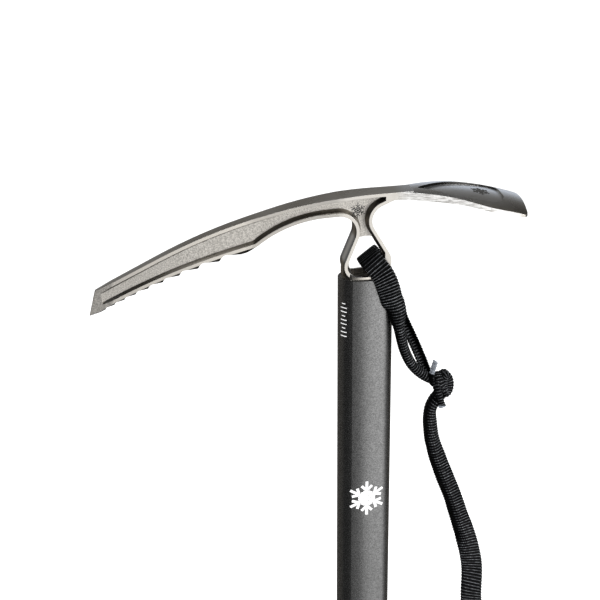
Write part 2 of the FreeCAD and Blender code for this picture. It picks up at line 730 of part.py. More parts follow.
def palm_plan():
    """Teardrop outline of the palm recess."""
    body = add_body("palm_outline_block")
    sketch = add_sketch(body, "palm_outline", "XY_Plane", "shaft_top")
    side = size("palm_half")
    bend = (size("palm_bend_x"), side, size("palm_side_radius"))
    corner = (size("palm_end_x"), side, size("palm_corner_radius"))
    start = (size("palm_start_x"), 0, size("palm_point_radius"))
    mirrored = [(x, -y, radius) for x, y, radius in (corner, bend)]
    add_outline(sketch, [start, bend, corner] + mirrored)
    add_pad(body, "palm_outline_pad", sketch, "total_length - shaft_top + block_spare")
    return body


def head():
    blank = add_boolean("Common", "pick_and_neck", side_loft(), plan_pad())
    skirt = add_boolean("Common", "collar_trimmed", collar(), neck_sides())
    plate = add_boolean("Common", "adze_blank", adze_plate(), adze_plan())
    whole = add_boolean("MultiFuse", "head_solid", blank, skirt, head_tang(), plate)
    palm = add_boolean("Common", "palm_recess", palm_floor(), palm_plan())
    hollows = add_boolean("MultiFuse", "head_hollows", recesses(), eye(), trough())
    relieved = add_boolean("Cut", "head_relieved", whole, hollows)
    toothed = add_boolean("Cut", "head_toothed", relieved, gullets())
    hollowed = add_boolean("Cut", "head_hollowed", toothed, palm)
    finished = add_boolean("Cut", "head", hollowed, pin_bores())
    finished.Label = "head"
    return finished


# ------------------------------------------------------------------ shaft, bonds and pins

def pin_cylinder(name, index):
    """Blind pin driven in along X from the adze's side."""
    pin = doc.addObject("Part::Cylinder", name)
    tie(pin, "Radius", "pin_radius")
    tie(pin, "Height", "pin_length")
    pin.Placement = FreeCAD.Placement(V(), FreeCAD.Rotation(V(0, 1, 0), 90))
    tie(pin, ".Placement.Base.x", "shaft_width / 2 - pin_length")
    tie(pin, ".Placement.Base.z",
                      "shaft_top - pin_drop - %d * pin_pitch" % index)
    return pin


def pin_bores():
    return add_boolean("Compound", "pin_bores",
                       pin_cylinder("pin_bore_upper", 0), pin_cylinder("pin_bore_lower", 1))


def head_pins():
    pins = add_boolean("Compound", "head_pins_raw",
                       pin_cylinder("head_pin_upper", 0), pin_cylinder("head_pin_lower", 1))
    within = doc.addObject("Part::Box", "pin_trim")
    tie(within, "Length", "shaft_width")
    tie(within, "Width", "shaft_depth")
    tie(within, "Height", "total_length")
    tie(within, ".Placement.Base.x", "-shaft_width / 2 - pin_set_back")
    tie(within, ".Placement.Base.y", "-shaft_depth / 2")
    trimmed = add_boolean("Common", "head_pins", pins, within)
    trimmed.Label = "head_pins"
    return trimmed


def rivet_cylinder(name):
    """Cross bore for the rivet that holds the spike, along Y through the whole shaft."""
    bore = doc.addObject("Part::Cylinder", name)
    tie(bore, "Radius", "rivet_radius")
    tie(bore, "Height", "2 * shaft_depth")
    bore.Placement = FreeCAD.Placement(V(), FreeCAD.Rotation(V(1, 0, 0), 90))
    tie(bore, ".Placement.Base.y", "shaft_depth")
    tie(bore, ".Placement.Base.z", "shaft_bottom + rivet_rise")
    return bore


def shaft_tube():
    body = add_body("tube_blank")
    outside = add_sketch(body, "tube_outside", "XY_Plane", "shaft_bottom")
    add_shaft_oval(outside)
    add_pad(body, "tube_pad", outside, "shaft_top - shaft_bottom")
    bore = add_sketch(body, "tube_bore", "XY_Plane", "shaft_bottom")
    add_shaft_oval(bore, "shaft_wall")
    add_pocket(body, "tube_pocket", bore, "shaft_top - shaft_bottom", reversed_way=True)
    cross_bores = add_boolean("MultiFuse", "tube_bores",
                              pin_cylinder("tube_bore_upper", 0), pin_cylinder("tube_bore_lower", 1),
                              rivet_cylinder("tube_rivet_bore"))
    tube = add_boolean("Cut", "shaft_tube", body, cross_bores)
    tube.Label = "shaft_tube"
    return tube


def bond(name, low, height, *bores):
    """Sleeve of cured adhesive that fills the space between a tang and the tube."""
    body = add_body(name + "_sleeve")
    outside = add_sketch(body, name + "_outside", "XY_Plane", low)
    add_shaft_oval(outside, "shaft_wall")
    add_pad(body, name + "_pad", outside, height)
    inside = add_sketch(body, name + "_inside", "XY_Plane", low)
    add_shaft_oval(inside, "shaft_wall + bond_gap")
    add_pocket(body, name + "_pocket", inside, height, reversed_way=True)
    holes = add_boolean("Compound", name + "_bores", *bores)
    sleeve = add_boolean("Cut", name, body, holes)
    sleeve.Label = name
    return sleeve


def head_bond():
    return bond("head_bond", "shaft_top - head_tang_length", "head_tang_length",
                pin_cylinder("bond_bore_upper", 0), pin_cylinder("bond_bore_lower", 1))


def spike_bond():
    return bond("spike_bond", "shaft_bottom", "spike_tang_length",
                rivet_cylinder("spike_bond_bore"))


def spike_rivet():
    """Shank with a low round head on each broad face of the shaft."""
    body = add_body("rivet_shank")
    sketch = add_sketch(body, "rivet_profile", "XY_Plane", "shaft_bottom + rivet_rise")
    half = size("shaft_depth / 2")
    rise = size("rivet_head_height")
    shank = size("rivet_radius")
    wide = size("rivet_head_radius")
    corners = [
        (0, -half - rise, 0), (wide, -half - rise, rise / 2), (wide, -half, 0), (shank, -half, 0),
        (shank, half, 0), (wide, half, 0), (wide, half + rise, rise / 2), (0, half + rise, 0),
    ]
    add_outline(sketch, corners)
    doc.recompute()
    turned = body.newObject("PartDesign::Revolution", "rivet_turned")
    turned.Profile = sketch
    turned.ReferenceAxis = (sketch, ["V_Axis"])
    turned.Angle = 360
    doc.recompute()
    return body


# ------------------------------------------------------------------ spike

def spike():
    body = add_body("spike_blank")
    levels = [
        ("shaft_bottom - spike_shoulder",
         "(shaft_width / 2)", "(shaft_depth / 2)", "shaft_broad_radius"),
        ("spike_waist_z",
         "spike_waist_half_width", "spike_waist_half_depth", "shaft_broad_radius"),
        ("spike_low_z",
         "spike_low_half_width", "spike_low_half_depth", "spike_low_broad"),
        ("0",
         "spike_tip_half", "spike_tip_half * 0.9", "spike_low_broad"),
    ]
    sketches = []
    for index, (height, half_x, half_y, broad) in enumerate(levels):
        sketch = add_sketch(body, "spike_section_%d" % index, "XY_Plane", height)
        add_oval(sketch, half_x, half_y, broad)
        sketches.append(sketch)
    doc.recompute()
    loft = body.newObject("PartDesign::AdditiveLoft", "spike_loft")
    loft.Profile = sketches[0]
    loft.Sections = sketches[1:]
    doc.recompute()
    shoulder = add_sketch(body, "spike_shoulder_section", "XY_Plane",
                          "shaft_bottom - spike_shoulder")
    add_shaft_oval(shoulder)
    add_pad(body, "spike_shoulder_pad", shoulder, "spike_shoulder")
    add_tang(body, "spike_tang", "shaft_bottom", "spike_tang_length",
             "spike_tang_floor", upwards=True)
    hole = add_sketch(body, "spike_eye_outline", "XZ_Plane")
    add_circle(hole, "0", "spike_eye_z", "spike_eye_radius")
    add_pocket(body, "spike_eye", hole, "2 * shaft_depth", both_ways=True)
    finished = add_boolean("Cut", "spike", body, rivet_cylinder("spike_rivet_bore"))
    finished.Label = "spike"
    return finished


# ------------------------------------------------------------------ leash

# Middle of the webbing on the -Y side, from the middle of the eye down to the knot.
STRAND = [
    (1.2, 0.0, 560.4),
    (1.2, -3.6, 560.4),
    (2.2, -6.9, 559.3),
    (4.6, -9.7, 556.6),
    (7.9, -10.9, 552.4),
    (10.4, -11.1, 546.6),
    (13.2, -11.1, 537.5),
    (15.6, -11.1, 525.5),
    (18.2, -10.4, 512.5),
    (22.4, -8.0, 499.0),
    (27.6, -5.4, 488.0),
    (33.4, -3.6, 480.8),
    (41.4, -2.3, 475.4),
]


def strand_sections():
    """Webbing cross-sections from the knot through the eye and back on the other side."""
    points = [V(*point) for point in STRAND]
    lean = math.radians(size("eye_cross_lean"))
    half_width = size("webbing_width") / 2
    half_thickness = size("webbing_thickness") / 2
    near_side = []
    for i, here in enumerate(points):
        before = points[max(i - 1, 0)]
        after = points[min(i + 1, len(points) - 1)]
        along = (after - before).normalize()
        run = V(after.x - before.x, 0, after.z - before.z)
        if i < 2:
            across = V(math.cos(lean), 0, math.sin(lean))
        else:
            across = V(-run.z, 0, run.x).normalize()
        thick = across.cross(along).normalize()
        across = along.cross(thick)
        near_side.append((here, across * half_width, thick * half_thickness))
    far_side = []
    for here, across, thick in near_side[1:]:
        mirror = [V(v.x, -v.y, v.z) for v in (here, across, thick)]
        far_side.append(mirror)
    sections = list(reversed(near_side)) + far_side
    wires = []
    for here, across, thick in sections:
        corners = [here - across - thick, here + across - thick,
                   here + across + thick, here - across + thick]
        wires.append(Part.makePolygon(corners + corners[:1]))
    return wires


def leash_head_loop():
    loop = Part.makeLoft(strand_sections(), True, True)
    return add_shape("leash_head_loop", loop)


def leash_knot():
    knot = doc.addObject("Part::Ellipsoid", "leash_knot")
    tie(knot, "Radius1", "knot_half_z")
    tie(knot, "Radius2", "knot_half_x")
    tie(knot, "Radius3", "knot_half_y")
    tie(knot, ".Placement.Base.x", "knot_x")
    tie(knot, ".Placement.Base.z", "knot_z")
    return knot


def tail(name, x, y, z, lean):
    """Free end of the webbing standing out of the knot."""
    piece = doc.addObject("Part::Box", name)
    tie(piece, "Length", "tail_width")
    tie(piece, "Width", "webbing_thickness")
    tie(piece, "Height", "tail_length")
    piece.Placement = FreeCAD.Placement(V(), FreeCAD.Rotation(V(0, 1, 0), lean))
    tie(piece, ".Placement.Base.x", x)
    tie(piece, ".Placement.Base.y", y)
    tie(piece, ".Placement.Base.z", z)
    return piece


def leash_tails():
    upper = tail("upper_tail", "knot_x - tail_width - tail_tuck",
                 "-webbing_thickness / 2", "knot_z + knot_half_z - tail_tuck", size("tail_lean"))
    lower = tail("lower_tail", "knot_x - tail_width",
                 "-knot_half_y + webbing_thickness",
                 "knot_z - knot_half_z - tail_length + tail_tuck", 0)
    pair = add_boolean("Compound", "tail_pair", upper, lower)
    solid_knot = doc.getObject("leash_knot")
    trimmed = add_boolean("Cut", "leash_tails", pair, solid_knot)
    trimmed.Label = "leash_tails"
    return trimmed


def band_outline(points, radii, half_width):
    """Flat band of even width along a bent centre line, as rounded corners."""
    sides = []
    for sign in (-1, 1):
        side = []
        for i, here in enumerate(points):
            before = (here - points[i - 1]).normalize() if i else (points[1] - here).normalize()
            after = before
            if i + 1 < len(points):
                after = (points[i + 1] - here).normalize()
            out_before = V(-before.y, before.x, 0) * sign
            out_after = V(-after.y, after.x, 0) * sign
            share = half_width / (1 + out_before.dot(out_after))
            corner = here + (out_before + out_after) * share
            turns_left = before.cross(after).z * sign > 0
            radius = radii[i]
            if radius > 0:
                radius += -half_width if turns_left else half_width
            side.append((corner.x, corner.y, radius))
        sides.append(side)
    return sides[0] + list(reversed(sides[1]))


def tether_points():
    names = ("tether_top", "tether_upper_bend", "tether_lower_bend", "tether_end")
    return [V(size(name + "_x"), size(name + "_z"), 0) for name in names]


def tether_lean():
    """Angle between the straight lower run of the leash and the vertical."""
    bend, end = tether_points()[-2:]
    return math.degrees(math.atan2(end.x - bend.x, bend.y - end.y))


def leash_tether(name, side):
    """One ply of the doubled webbing; side is -1 or 1 along Y."""
    body = add_body(name)
    sketch = add_sketch(body, name + "_outline", "XZ_Plane")
    radii = [0, size("tether_upper_radius"), size("tether_lower_radius"), 0]
    add_outline(sketch, band_outline(tether_points(), radii, size("webbing_width") / 2))
    # the sketch's normal points along -Y
    shift = "%d * ply_gap / 2" % -side
    tie(sketch, ".AttachmentOffset.Base.z", shift)
    add_pad(body, name + "_pad", sketch, "webbing_thickness", reversed_way=side > 0)
    return body


def hang_on_tether(body, rise):
    """Moves a body, drawn round the Z axis, onto the straight lower run of the leash."""
    lean = tether_lean()
    along = V(-math.sin(math.radians(lean)), 0, math.cos(math.radians(lean)))
    base = V(size("tether_end_x"), 0, size("tether_end_z")) + along * rise
    body.Placement = FreeCAD.Placement(base, FreeCAD.Rotation(V(0, 1, 0), -lean))


def wrist_loop():
    body = add_body("wrist_loop")
    sketch = add_sketch(body, "wrist_loop_outline", "YZ_Plane")
    throat = size("ply_gap / 2 + webbing_thickness")
    half = size("loop_half")
    foot = -size("loop_length")
    gap = -size("wrist_gap")
    one_side = [
        (throat, gap, 0),
        (throat, gap - size("loop_throat"), size("loop_throat_radius")),
        (half, -size("loop_shoulder"), size("loop_shoulder_radius")),
        (half, foot, size("loop_foot_radius")),
    ]
    other_side = [(-y, z, radius) for y, z, radius in reversed(one_side)]
    outside = one_side + other_side
    add_outline(sketch, outside)
    add_outline(sketch, inset_corners(outside, size("webbing_thickness")))
    add_pad(body, "wrist_loop_pad", sketch, "webbing_width", both_ways=True)
    hang_on_tether(body, 0)
    return body


def leash_slider():
    body = add_body("leash_slider")
    outside = add_sketch(body, "slider_outside", "XY_Plane")
    half_x = "webbing_width / 2 + slider_clearance"
    half_y = "webbing_thickness + ply_gap / 2 + slider_clearance"
    wall = " + slider_wall"
    add_rectangle(outside, "-(%s)" % (half_x + wall), half_x + wall,
                  "-(%s)" % (half_y + wall), half_y + wall)
    add_pad(body, "slider_pad", outside, "slider_length", both_ways=True)
    slot = add_sketch(body, "slider_slot", "XY_Plane")
    add_rectangle(slot, "-(%s)" % half_x, half_x, "-(%s)" % half_y, half_y)
    add_pocket(body, "slider_slot_pocket", slot, "2 * slider_length", both_ways=True)
    hang_on_tether(body, size("slider_rise"))
    return body


# ------------------------------------------------------------------ build, check and write

def build():
    pieces = [head(), shaft_tube(), head_bond(), head_pins(), spike(), spike_bond()]
    rivet = spike_rivet()
    rivet.Label = "spike_rivet"
    pieces += [rivet, leash_head_loop(), leash_knot(), leash_tails()]
    pieces += [leash_tether("leash_tether_front", -1), leash_tether("leash_tether_back", 1)]
    pieces += [wrist_loop(), leash_slider()]
    return pieces


def check(pieces):
    for item in doc.Objects:
        for word in ("Invalid", "Error"):
            if word in item.State:
                raise ValueError("%s is %s" % (item.Name, word))
    for piece in pieces:
        shape = piece.Shape
        if shape.isNull() or not shape.isValid() or not shape.Solids:
            raise ValueError("%s has no sound solid" % piece.Label)


def write(pieces):
    os.makedirs(PARTS_FOLDER, exist_ok=True)
    for piece in pieces:
        piece.Shape.exportStep(os.path.join(PARTS_FOLDER, piece.Label + ".step"))


pieces = build()
doc.recompute()
check(pieces)
write(pieces)
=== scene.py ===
import json
import math

import bpy
from mathutils import Matrix, Vector
from mathutils.bvhtree import BVHTree


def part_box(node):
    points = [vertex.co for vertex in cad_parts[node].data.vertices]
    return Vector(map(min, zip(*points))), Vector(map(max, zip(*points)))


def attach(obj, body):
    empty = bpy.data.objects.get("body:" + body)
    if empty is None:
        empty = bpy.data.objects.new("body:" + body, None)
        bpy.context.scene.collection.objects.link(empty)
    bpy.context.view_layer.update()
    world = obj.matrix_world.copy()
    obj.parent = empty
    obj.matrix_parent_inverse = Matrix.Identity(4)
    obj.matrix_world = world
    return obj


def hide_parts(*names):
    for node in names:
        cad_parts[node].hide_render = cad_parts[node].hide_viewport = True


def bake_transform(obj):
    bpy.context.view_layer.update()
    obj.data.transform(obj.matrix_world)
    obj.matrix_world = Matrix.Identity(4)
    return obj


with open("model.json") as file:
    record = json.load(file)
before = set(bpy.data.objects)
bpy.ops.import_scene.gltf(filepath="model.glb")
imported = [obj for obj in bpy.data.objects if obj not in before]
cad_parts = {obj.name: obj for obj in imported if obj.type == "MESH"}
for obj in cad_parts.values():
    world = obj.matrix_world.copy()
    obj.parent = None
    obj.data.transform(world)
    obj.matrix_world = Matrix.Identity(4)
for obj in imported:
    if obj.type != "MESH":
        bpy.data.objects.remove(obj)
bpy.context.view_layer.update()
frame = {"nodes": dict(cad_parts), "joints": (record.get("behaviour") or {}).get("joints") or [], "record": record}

# Ice axe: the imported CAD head, tube, bonds, pins, spike, rivet and slider keep their shapes
# and get procedural metal and plastic. The leash's webbing, knot and tails are built here.
# Lengths are metres; values written times MM are millimetres. +Z up, -Y towards the camera.

MM = 0.001

joints = {joint["name"]: joint for joint in frame["joints"]}
nodes = frame["nodes"]
slots = {part["node"]: part["material_slot"] for part in frame["record"]["subparts"]}
EYE = Vector(joints["leash_swing"]["pos_m"])
KNOT = Vector(joints["tether_swing"]["pos_m"])
SLIDE_AXIS = Vector(joints["slider_travel"]["axis"]).normalized()


def box_centre(node):
    low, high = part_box(node)
    return (low + high) / 2


def offset(x, y, z):
    """Vector from millimetres."""
    return Vector((x, y, z)) * MM


def on_slide_line(height):
    """Point at this height on the line that the slider travels along."""
    slider = box_centre("leash_slider")
    return slider + SLIDE_AXIS * ((height - slider.z) / SLIDE_AXIS.z)


def mesh_object(name, vertices, faces):
    """New object in the scene, made of plain vertices and faces."""
    mesh = bpy.data.meshes.new(name)
    mesh.from_pydata(vertices, [], faces)
    obj = bpy.data.objects.new(name, mesh)
    bpy.context.scene.collection.objects.link(obj)
    return obj


def smooth(obj, angle):
    """Smooth shading that keeps edges sharper than angle, in degrees."""
    obj.data.shade_smooth()
    obj.data.set_sharp_from_angle(angle=math.radians(angle))


def paint(obj, material):
    obj.data.materials.clear()
    obj.data.materials.append(material)


# ------------------------------------------------------------------ shader helpers

class Nodes:
    """Adds nodes to a material's or a world's tree with short calls."""

    def __init__(self, tree):
        self.tree = tree

    def node(self, kind, inputs=None, **settings):
        made = self.tree.nodes.new("ShaderNode" + kind)
        for key, value in settings.items():
            setattr(made, key, value)
        for key, value in (inputs or {}).items():
            self.put(made.inputs[key], value)
        return made

    def put(self, socket, value):
        """Links a socket to another, or sets its plain value."""
        if isinstance(value, bpy.types.NodeSocket):
            self.tree.links.new(value, socket)
        else:
            socket.default_value = value

    def maths(self, operation, first, second=0.0, third=0.0):
        made = self.node("Math", operation=operation)
        for socket, value in zip(made.inputs, (first, second, third)):
            self.put(socket, value)
        return made.outputs[0]

    def times(self, first, second):
        return self.maths("MULTIPLY", first, second)

    def axis(self, vector, letter):
        return self.node("SeparateXYZ", {0: vector}).outputs[letter]

    def mix(self, share, first, second):
        """Mixes two colours by share."""
        made = self.node("Mix", data_type="RGBA")
        for socket, value in zip([made.inputs[0], made.inputs[6], made.inputs[7]],
                                 (share, first, second)):
            self.put(socket, value)
        return made.outputs[2]

    def scaled(self, colour, share):
        """Colour times a number or another socket."""
        return self.node("VectorMath", {0: colour, "Scale": share}, operation="SCALE").outputs[0]

    def ramp(self, value, stops):
        """Colours that ease from one stop to the next."""
        made = self.node("ValToRGB", {0: value})
        made.color_ramp.interpolation = "EASE"
        elements = made.color_ramp.elements
        while len(elements) < len(stops):
            elements.new(0.5)
        for element, (position, colour) in zip(elements, stops):
            element.position = position
            element.color = colour
        return made.outputs[0]


class Shader(Nodes):
    """One node material."""

    def __init__(self, name):
        self.material = bpy.data.materials.new(name)
        self.material.use_nodes = True
        super().__init__(self.material.node_tree)
        self.surface = self.tree.nodes["Principled BSDF"]

    def set(self, **values):
        """Sets the surface's inputs; an underscore stands for a space in an input's name."""
        for key, value in values.items():
            self.put(self.surface.inputs[key.replace("_", " ")], value)

    def place(self):
        """Position in the row frame; every piece's mesh is drawn in it."""
        return self.node("TexCoord").outputs["Object"]

    def attribute(self, name):
        return self.node("Attribute", attribute_name=name).outputs["Fac"]

    def stretched(self, vector, scale):
        return self.node("Mapping", {"Vector": vector, "Scale": scale}).outputs[0]

    def noise(self, vector, scale, detail=3.0, roughness=0.55):
        made = self.node("TexNoise", {"Vector": vector, "Scale": scale, "Detail": detail,
                                      "Roughness": roughness})
        return made.outputs["Fac"]

    def spread(self, value, low, high, to_low=0.0, to_high=1.0):
        """Maps low..high to to_low..to_high and clamps."""
        made = self.node("MapRange", {"Value": value, "From Min": low, "From Max": high,
                                      "To Min": to_low, "To Max": to_high})
        return made.outputs[0]

    def bump(self, height, strength, distance, below=None):
        """Normal of a height laid over the plain normal, or over the one below."""
        inputs = {"Height": height, "Strength": strength, "Distance": distance}
        if below:
            inputs["Normal"] = below
        return self.node("Bump", inputs).outputs[0]

    def rounded(self, radius):
        """Normal that turns smoothly over every edge."""
        return self.node("Bevel", {"Radius": radius}, samples=6).outputs[0]

    def edge_mask(self, radius):
        """1 along edges, 0 on flats."""
        bevel = self.rounded(radius)
        normal = self.node("NewGeometry").outputs["Normal"]
        close = self.node("VectorMath", {0: bevel, 1: normal}, operation="DOT_PRODUCT")
        return self.spread(close.outputs["Value"], 0.995, 0.9)


def grey(value, warmth=0.0):
    """Near-neutral colour; warmth above 0 leans to brown."""
    return (value * (1 + warmth), value, value * (1 - 1.6 * warmth), 1.0)


# ------------------------------------------------------------------ metals and plastics

# Distances from the head's middle plane: the web's faces lie inside the first, the rims'
# outside the second.
WEB_INSIDE = 1.9 * MM
RIM_OUTSIDE = 2.4 * MM
# Along X: the adze's finish fades in, and the pick's rims lose their polish.
ADZE_FADES_IN = 16 * MM
ADZE_BEGINS = 24 * MM
PICK_POLISHED = -70 * MM
PICK_DULL = -25 * MM
# Heights over the tube's top between which the collar's finish fades out.
COLLAR_FADES = 1.4 * MM
COLLAR_ENDS = 2.2 * MM
# The adze widens along X: its sheared side lies outside the line start + flare * x.
ADZE_WIDEST_X = 69 * MM
ADZE_FLARE = 0.321
ADZE_FLARE_START = -2.4 * MM


def head_areas(s, place):
    """Masks of the head's differently finished areas and of the areas that get painted shade, each 1 inside and 0
    outside.
    """
    x = s.axis(place, "X")
    y = s.axis(place, "Y")
    depth = s.maths("ABSOLUTE", y)
    normal = s.node("NewGeometry").outputs["True Normal"]
    facing = s.maths("ABSOLUTE", s.axis(normal, "Y"))
    rising = s.axis(normal, "Z")
    upwards = s.maths("ABSOLUTE", rising)
    adze = s.spread(x, ADZE_FADES_IN, ADZE_BEGINS)
    not_adze = s.maths("SUBTRACT", 1.0, adze)
    over_tube = s.maths("SUBTRACT", s.axis(place, "Z"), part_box("shaft_tube")[1].z)
    collar = s.spread(over_tube, COLLAR_ENDS, COLLAR_FADES)
    not_collar = s.maths("SUBTRACT", 1.0, collar)
    flat_side = s.spread(facing, 0.9, 0.99)
    pick_polish = s.spread(x, PICK_POLISHED, PICK_DULL, 0.7, 0.18)
    flare = s.maths("MINIMUM", x, ADZE_WIDEST_X)
    palm_edge = s.maths("MULTIPLY_ADD", flare, ADZE_FLARE, ADZE_FLARE_START)
    outer = s.spread(s.maths("SUBTRACT", depth, palm_edge), 0.0, 0.2 * MM)
    towards_camera = s.spread(s.axis(normal, "Y"), -0.16, -0.34)
    far_half = s.spread(y, 0.0, 1.0 * MM)
    slope = s.times(s.spread(facing, 0.96, 0.86), s.spread(facing, 0.2, 0.4))
    edge_on = s.times(s.spread(facing, 0.2, 0.1), s.spread(upwards, 0.8, 0.6))
    return {
        "blasted": s.times(s.spread(depth, RIM_OUTSIDE, WEB_INSIDE), flat_side),
        "polished": s.times(flat_side, s.maths("MAXIMUM", pick_polish, collar)),
        "palm": s.times(adze, s.spread(rising, 0.6, 0.9)),
        "sheared": s.times(s.times(adze, outer), s.spread(upwards, 0.5, 0.2)),
        "sloped_painted_shade": s.times(s.times(slope, not_adze), not_collar),
        "struts_painted_shade": s.times(edge_on, not_adze),
        "underside_painted_shade": s.spread(rising, -0.15, -0.3),
        "far_wall_painted_shade": s.times(s.times(adze, towards_camera), far_half),
    }


def head_colour(s, place, areas, cloudy, drag):
    """Bright rims and a grained web, with the other areas' colours, painted shade, a painted reflection and
    painted edge highlights laid over one by one.
    """
    y = s.axis(place, "Y")
    tone = s.mix(cloudy, grey(0.40, 0.05), grey(0.50, 0.035))
    tone = s.mix(s.spread(drag, 0.35, 0.7, 0.0, 0.35), tone, grey(0.32, 0.06))
    tone = s.mix(areas["polished"], tone, grey(0.74, 0.06))
    speckled = s.noise(place, 1400.0, 2.0, 0.6)
    grained = s.mix(s.spread(speckled, 0.34, 0.66), grey(0.46, 0.05), grey(0.84, 0.04))
    colour = s.mix(areas["blasted"], tone, grained)
    # The palm's colour runs from dark on the near side to bright on the far side: painted shade and painted
    # reflection.
    to_far_side = s.spread(y, -20 * MM, 8 * MM)
    palm_painted_light = s.mix(to_far_side, grey(0.20, 0.07), grey(0.86, -0.04))
    colour = s.mix(areas["palm"], colour, palm_painted_light)
    streaks = s.noise(s.stretched(place, (110.0, 500.0, 2200.0)), 1.0, 3.0, 0.6)
    cut = s.mix(s.spread(streaks, 0.40, 0.56), grey(0.40, 0.03), grey(0.90, 0.01))
    colour = s.mix(areas["sheared"], colour, cut)
    # Slanted faces away from the adze and the collar get painted shade.
    colour = s.mix(areas["sloped_painted_shade"], colour, grey(0.20, 0.08))
    # The struts' sides get painted shade: warm and lighter near the middle plane, dark further out.
    outwards = s.spread(s.maths("ABSOLUTE", y), 1.2 * MM, 4.2 * MM)
    shaded = s.mix(outwards, grey(0.34, 0.09), grey(0.09, 0.08))
    colour = s.mix(areas["struts_painted_shade"], colour, shaded)
    # Faces that turn downwards get painted shade.
    colour = s.mix(areas["underside_painted_shade"], colour, grey(0.13, 0.08))
    # Faces on the adze's far half that turn towards the camera get near-black painted shade.
    colour = s.mix(areas["far_wall_painted_shade"], colour, grey(0.035, 0.06))
    # Edges are lightened as a painted highlight.
    edge_painted_highlight = s.times(s.edge_mask(0.22 * MM), 0.45)
    return s.mix(edge_painted_highlight, colour, grey(0.90, 0.01))


def cast_steel():
    """Investment-cast stainless steel: blasted web, polished rims, faint drag lines, with painted shade and
    painted highlights in its colour.
    """
    s = Shader("cast_steel")
    place = s.place()
    areas = head_areas(s, place)
    blasted = areas["blasted"]
    cloudy = s.noise(place, 45.0, 3.0, 0.5)
    drag = s.noise(s.stretched(place, (90.0, 1500.0, 1500.0)), 1.0, 3.0, 0.6)
    coarse = s.noise(place, 600.0, 2.0, 0.5)
    fine = s.noise(place, 1900.0, 3.0, 0.65)
    rough = s.spread(cloudy, 0.3, 0.7, 0.24, 0.32)
    rough = s.maths("ADD", rough, s.times(blasted, 0.28))
    metal = s.maths("MULTIPLY_ADD", areas["sheared"], -0.7, 1.0)
    skin = s.bump(drag, 0.10, 0.05 * MM, s.rounded(0.2 * MM))
    pits = s.bump(coarse, s.maths("MULTIPLY_ADD", blasted, 0.45, 0.05), 0.12 * MM, skin)
    grain = s.bump(fine, s.maths("MULTIPLY_ADD", blasted, 0.4, 0.05), 0.08 * MM, pits)
    s.set(Base_Color=head_colour(s, place, areas, cloudy, drag), Metallic=metal,
          Roughness=rough, Normal=grain)
    return s.material


def spike_steel():
    """Satin steel, ground bright towards the tip."""
    s = Shader("spike_steel")
    place = s.place()
    ground = s.spread(s.axis(place, "Z"), 30 * MM, 12 * MM)
    drag = s.noise(s.stretched(place, (1800.0, 1800.0, 70.0)), 1.0, 4.0, 0.6)
    grain = s.noise(place, 1700.0, 3.0, 0.6)
    cloudy = s.noise(place, 60.0)
    colour = s.mix(cloudy, grey(0.36, 0.04), grey(0.46, 0.03))
    colour = s.mix(ground, colour, grey(0.62, 0.02))
    colour = s.mix(s.edge_mask(0.5 * MM), colour, grey(0.75, 0.02))
    rough = s.maths("MULTIPLY_ADD", ground, -0.10, 0.36)
    lines = s.bump(drag, s.maths("MULTIPLY_ADD", ground, 0.25, 0.05), 0.04 * MM)
    skin = s.bump(grain, 0.20, 0.05 * MM, lines)
    s.set(Base_Color=colour, Metallic=1.0, Roughness=rough, Normal=skin)
    return s.material


def anodised_tube():
    """Blasted and anodised aluminium: dark, with a fine sparkling grain."""
    s = Shader("anodised_tube")
    place = s.place()
    flakes = s.node("TexVoronoi", {"Vector": place, "Scale": 1900.0}, feature="F1")
    sparkle = s.axis(flakes.outputs["Color"], "X")
    soft = s.noise(place, 1300.0, 3.0, 0.65)
    cloudy = s.noise(s.stretched(place, (30.0, 30.0, 10.0)), 1.0)
    colour = s.mix(sparkle, grey(0.135), grey(0.265))
    colour = s.mix(s.spread(cloudy, 0.3, 0.7, 0.0, 0.25), colour, grey(0.09, 0.02))
    rough = s.spread(soft, 0.3, 0.7, 0.24, 0.32)
    grain = s.bump(soft, 0.22, 0.06 * MM)
    grain = s.bump(sparkle, 0.16, 0.04 * MM, grain)
    s.set(Base_Color=colour, Metallic=0.95, Roughness=rough, Normal=grain)
    return s.material


def pin_steel():
    """Turned steel with light machining marks."""
    s = Shader("pin_steel")
    place = s.place()
    rings = s.noise(s.stretched(place, (2500.0, 400.0, 2500.0)), 1.0, 3.0, 0.5)
    colour = s.mix(rings, grey(0.42, 0.02), grey(0.56, 0.02))
    colour = s.mix(s.edge_mask(0.3 * MM), colour, grey(0.75))
    s.set(Base_Color=colour, Metallic=1.0, Roughness=s.spread(rings, 0.3, 0.7, 0.25, 0.4),
          Normal=s.bump(rings, 0.2, 0.04 * MM))
    return s.material


def adhesive():
    """Cured dark epoxy with a slightly wavy skin."""
    s = Shader("adhesive")
    waves = s.noise(s.place(), 420.0, 3.0, 0.5)
    colour = s.mix(waves, grey(0.018), grey(0.035))
    s.set(Base_Color=colour, Roughness=s.spread(waves, 0.3, 0.7, 0.35, 0.55),
          Normal=s.bump(waves, 0.35, 0.15 * MM))
    return s.material


def slider_plastic():
    """Spark-textured black nylon."""
    s = Shader("slider_plastic")
    place = s.place()
    texture = s.noise(place, 2200.0, 3.0, 0.6)
    colour = s.mix(s.noise(place, 120.0), grey(0.014), grey(0.026))
    colour = s.mix(s.edge_mask(0.4 * MM), colour, grey(0.06))
    s.set(Base_Color=colour, Roughness=s.spread(texture, 0.3, 0.7, 0.42, 0.58),
          Normal=s.bump(texture, 0.4, 0.06 * MM))
    return s.material


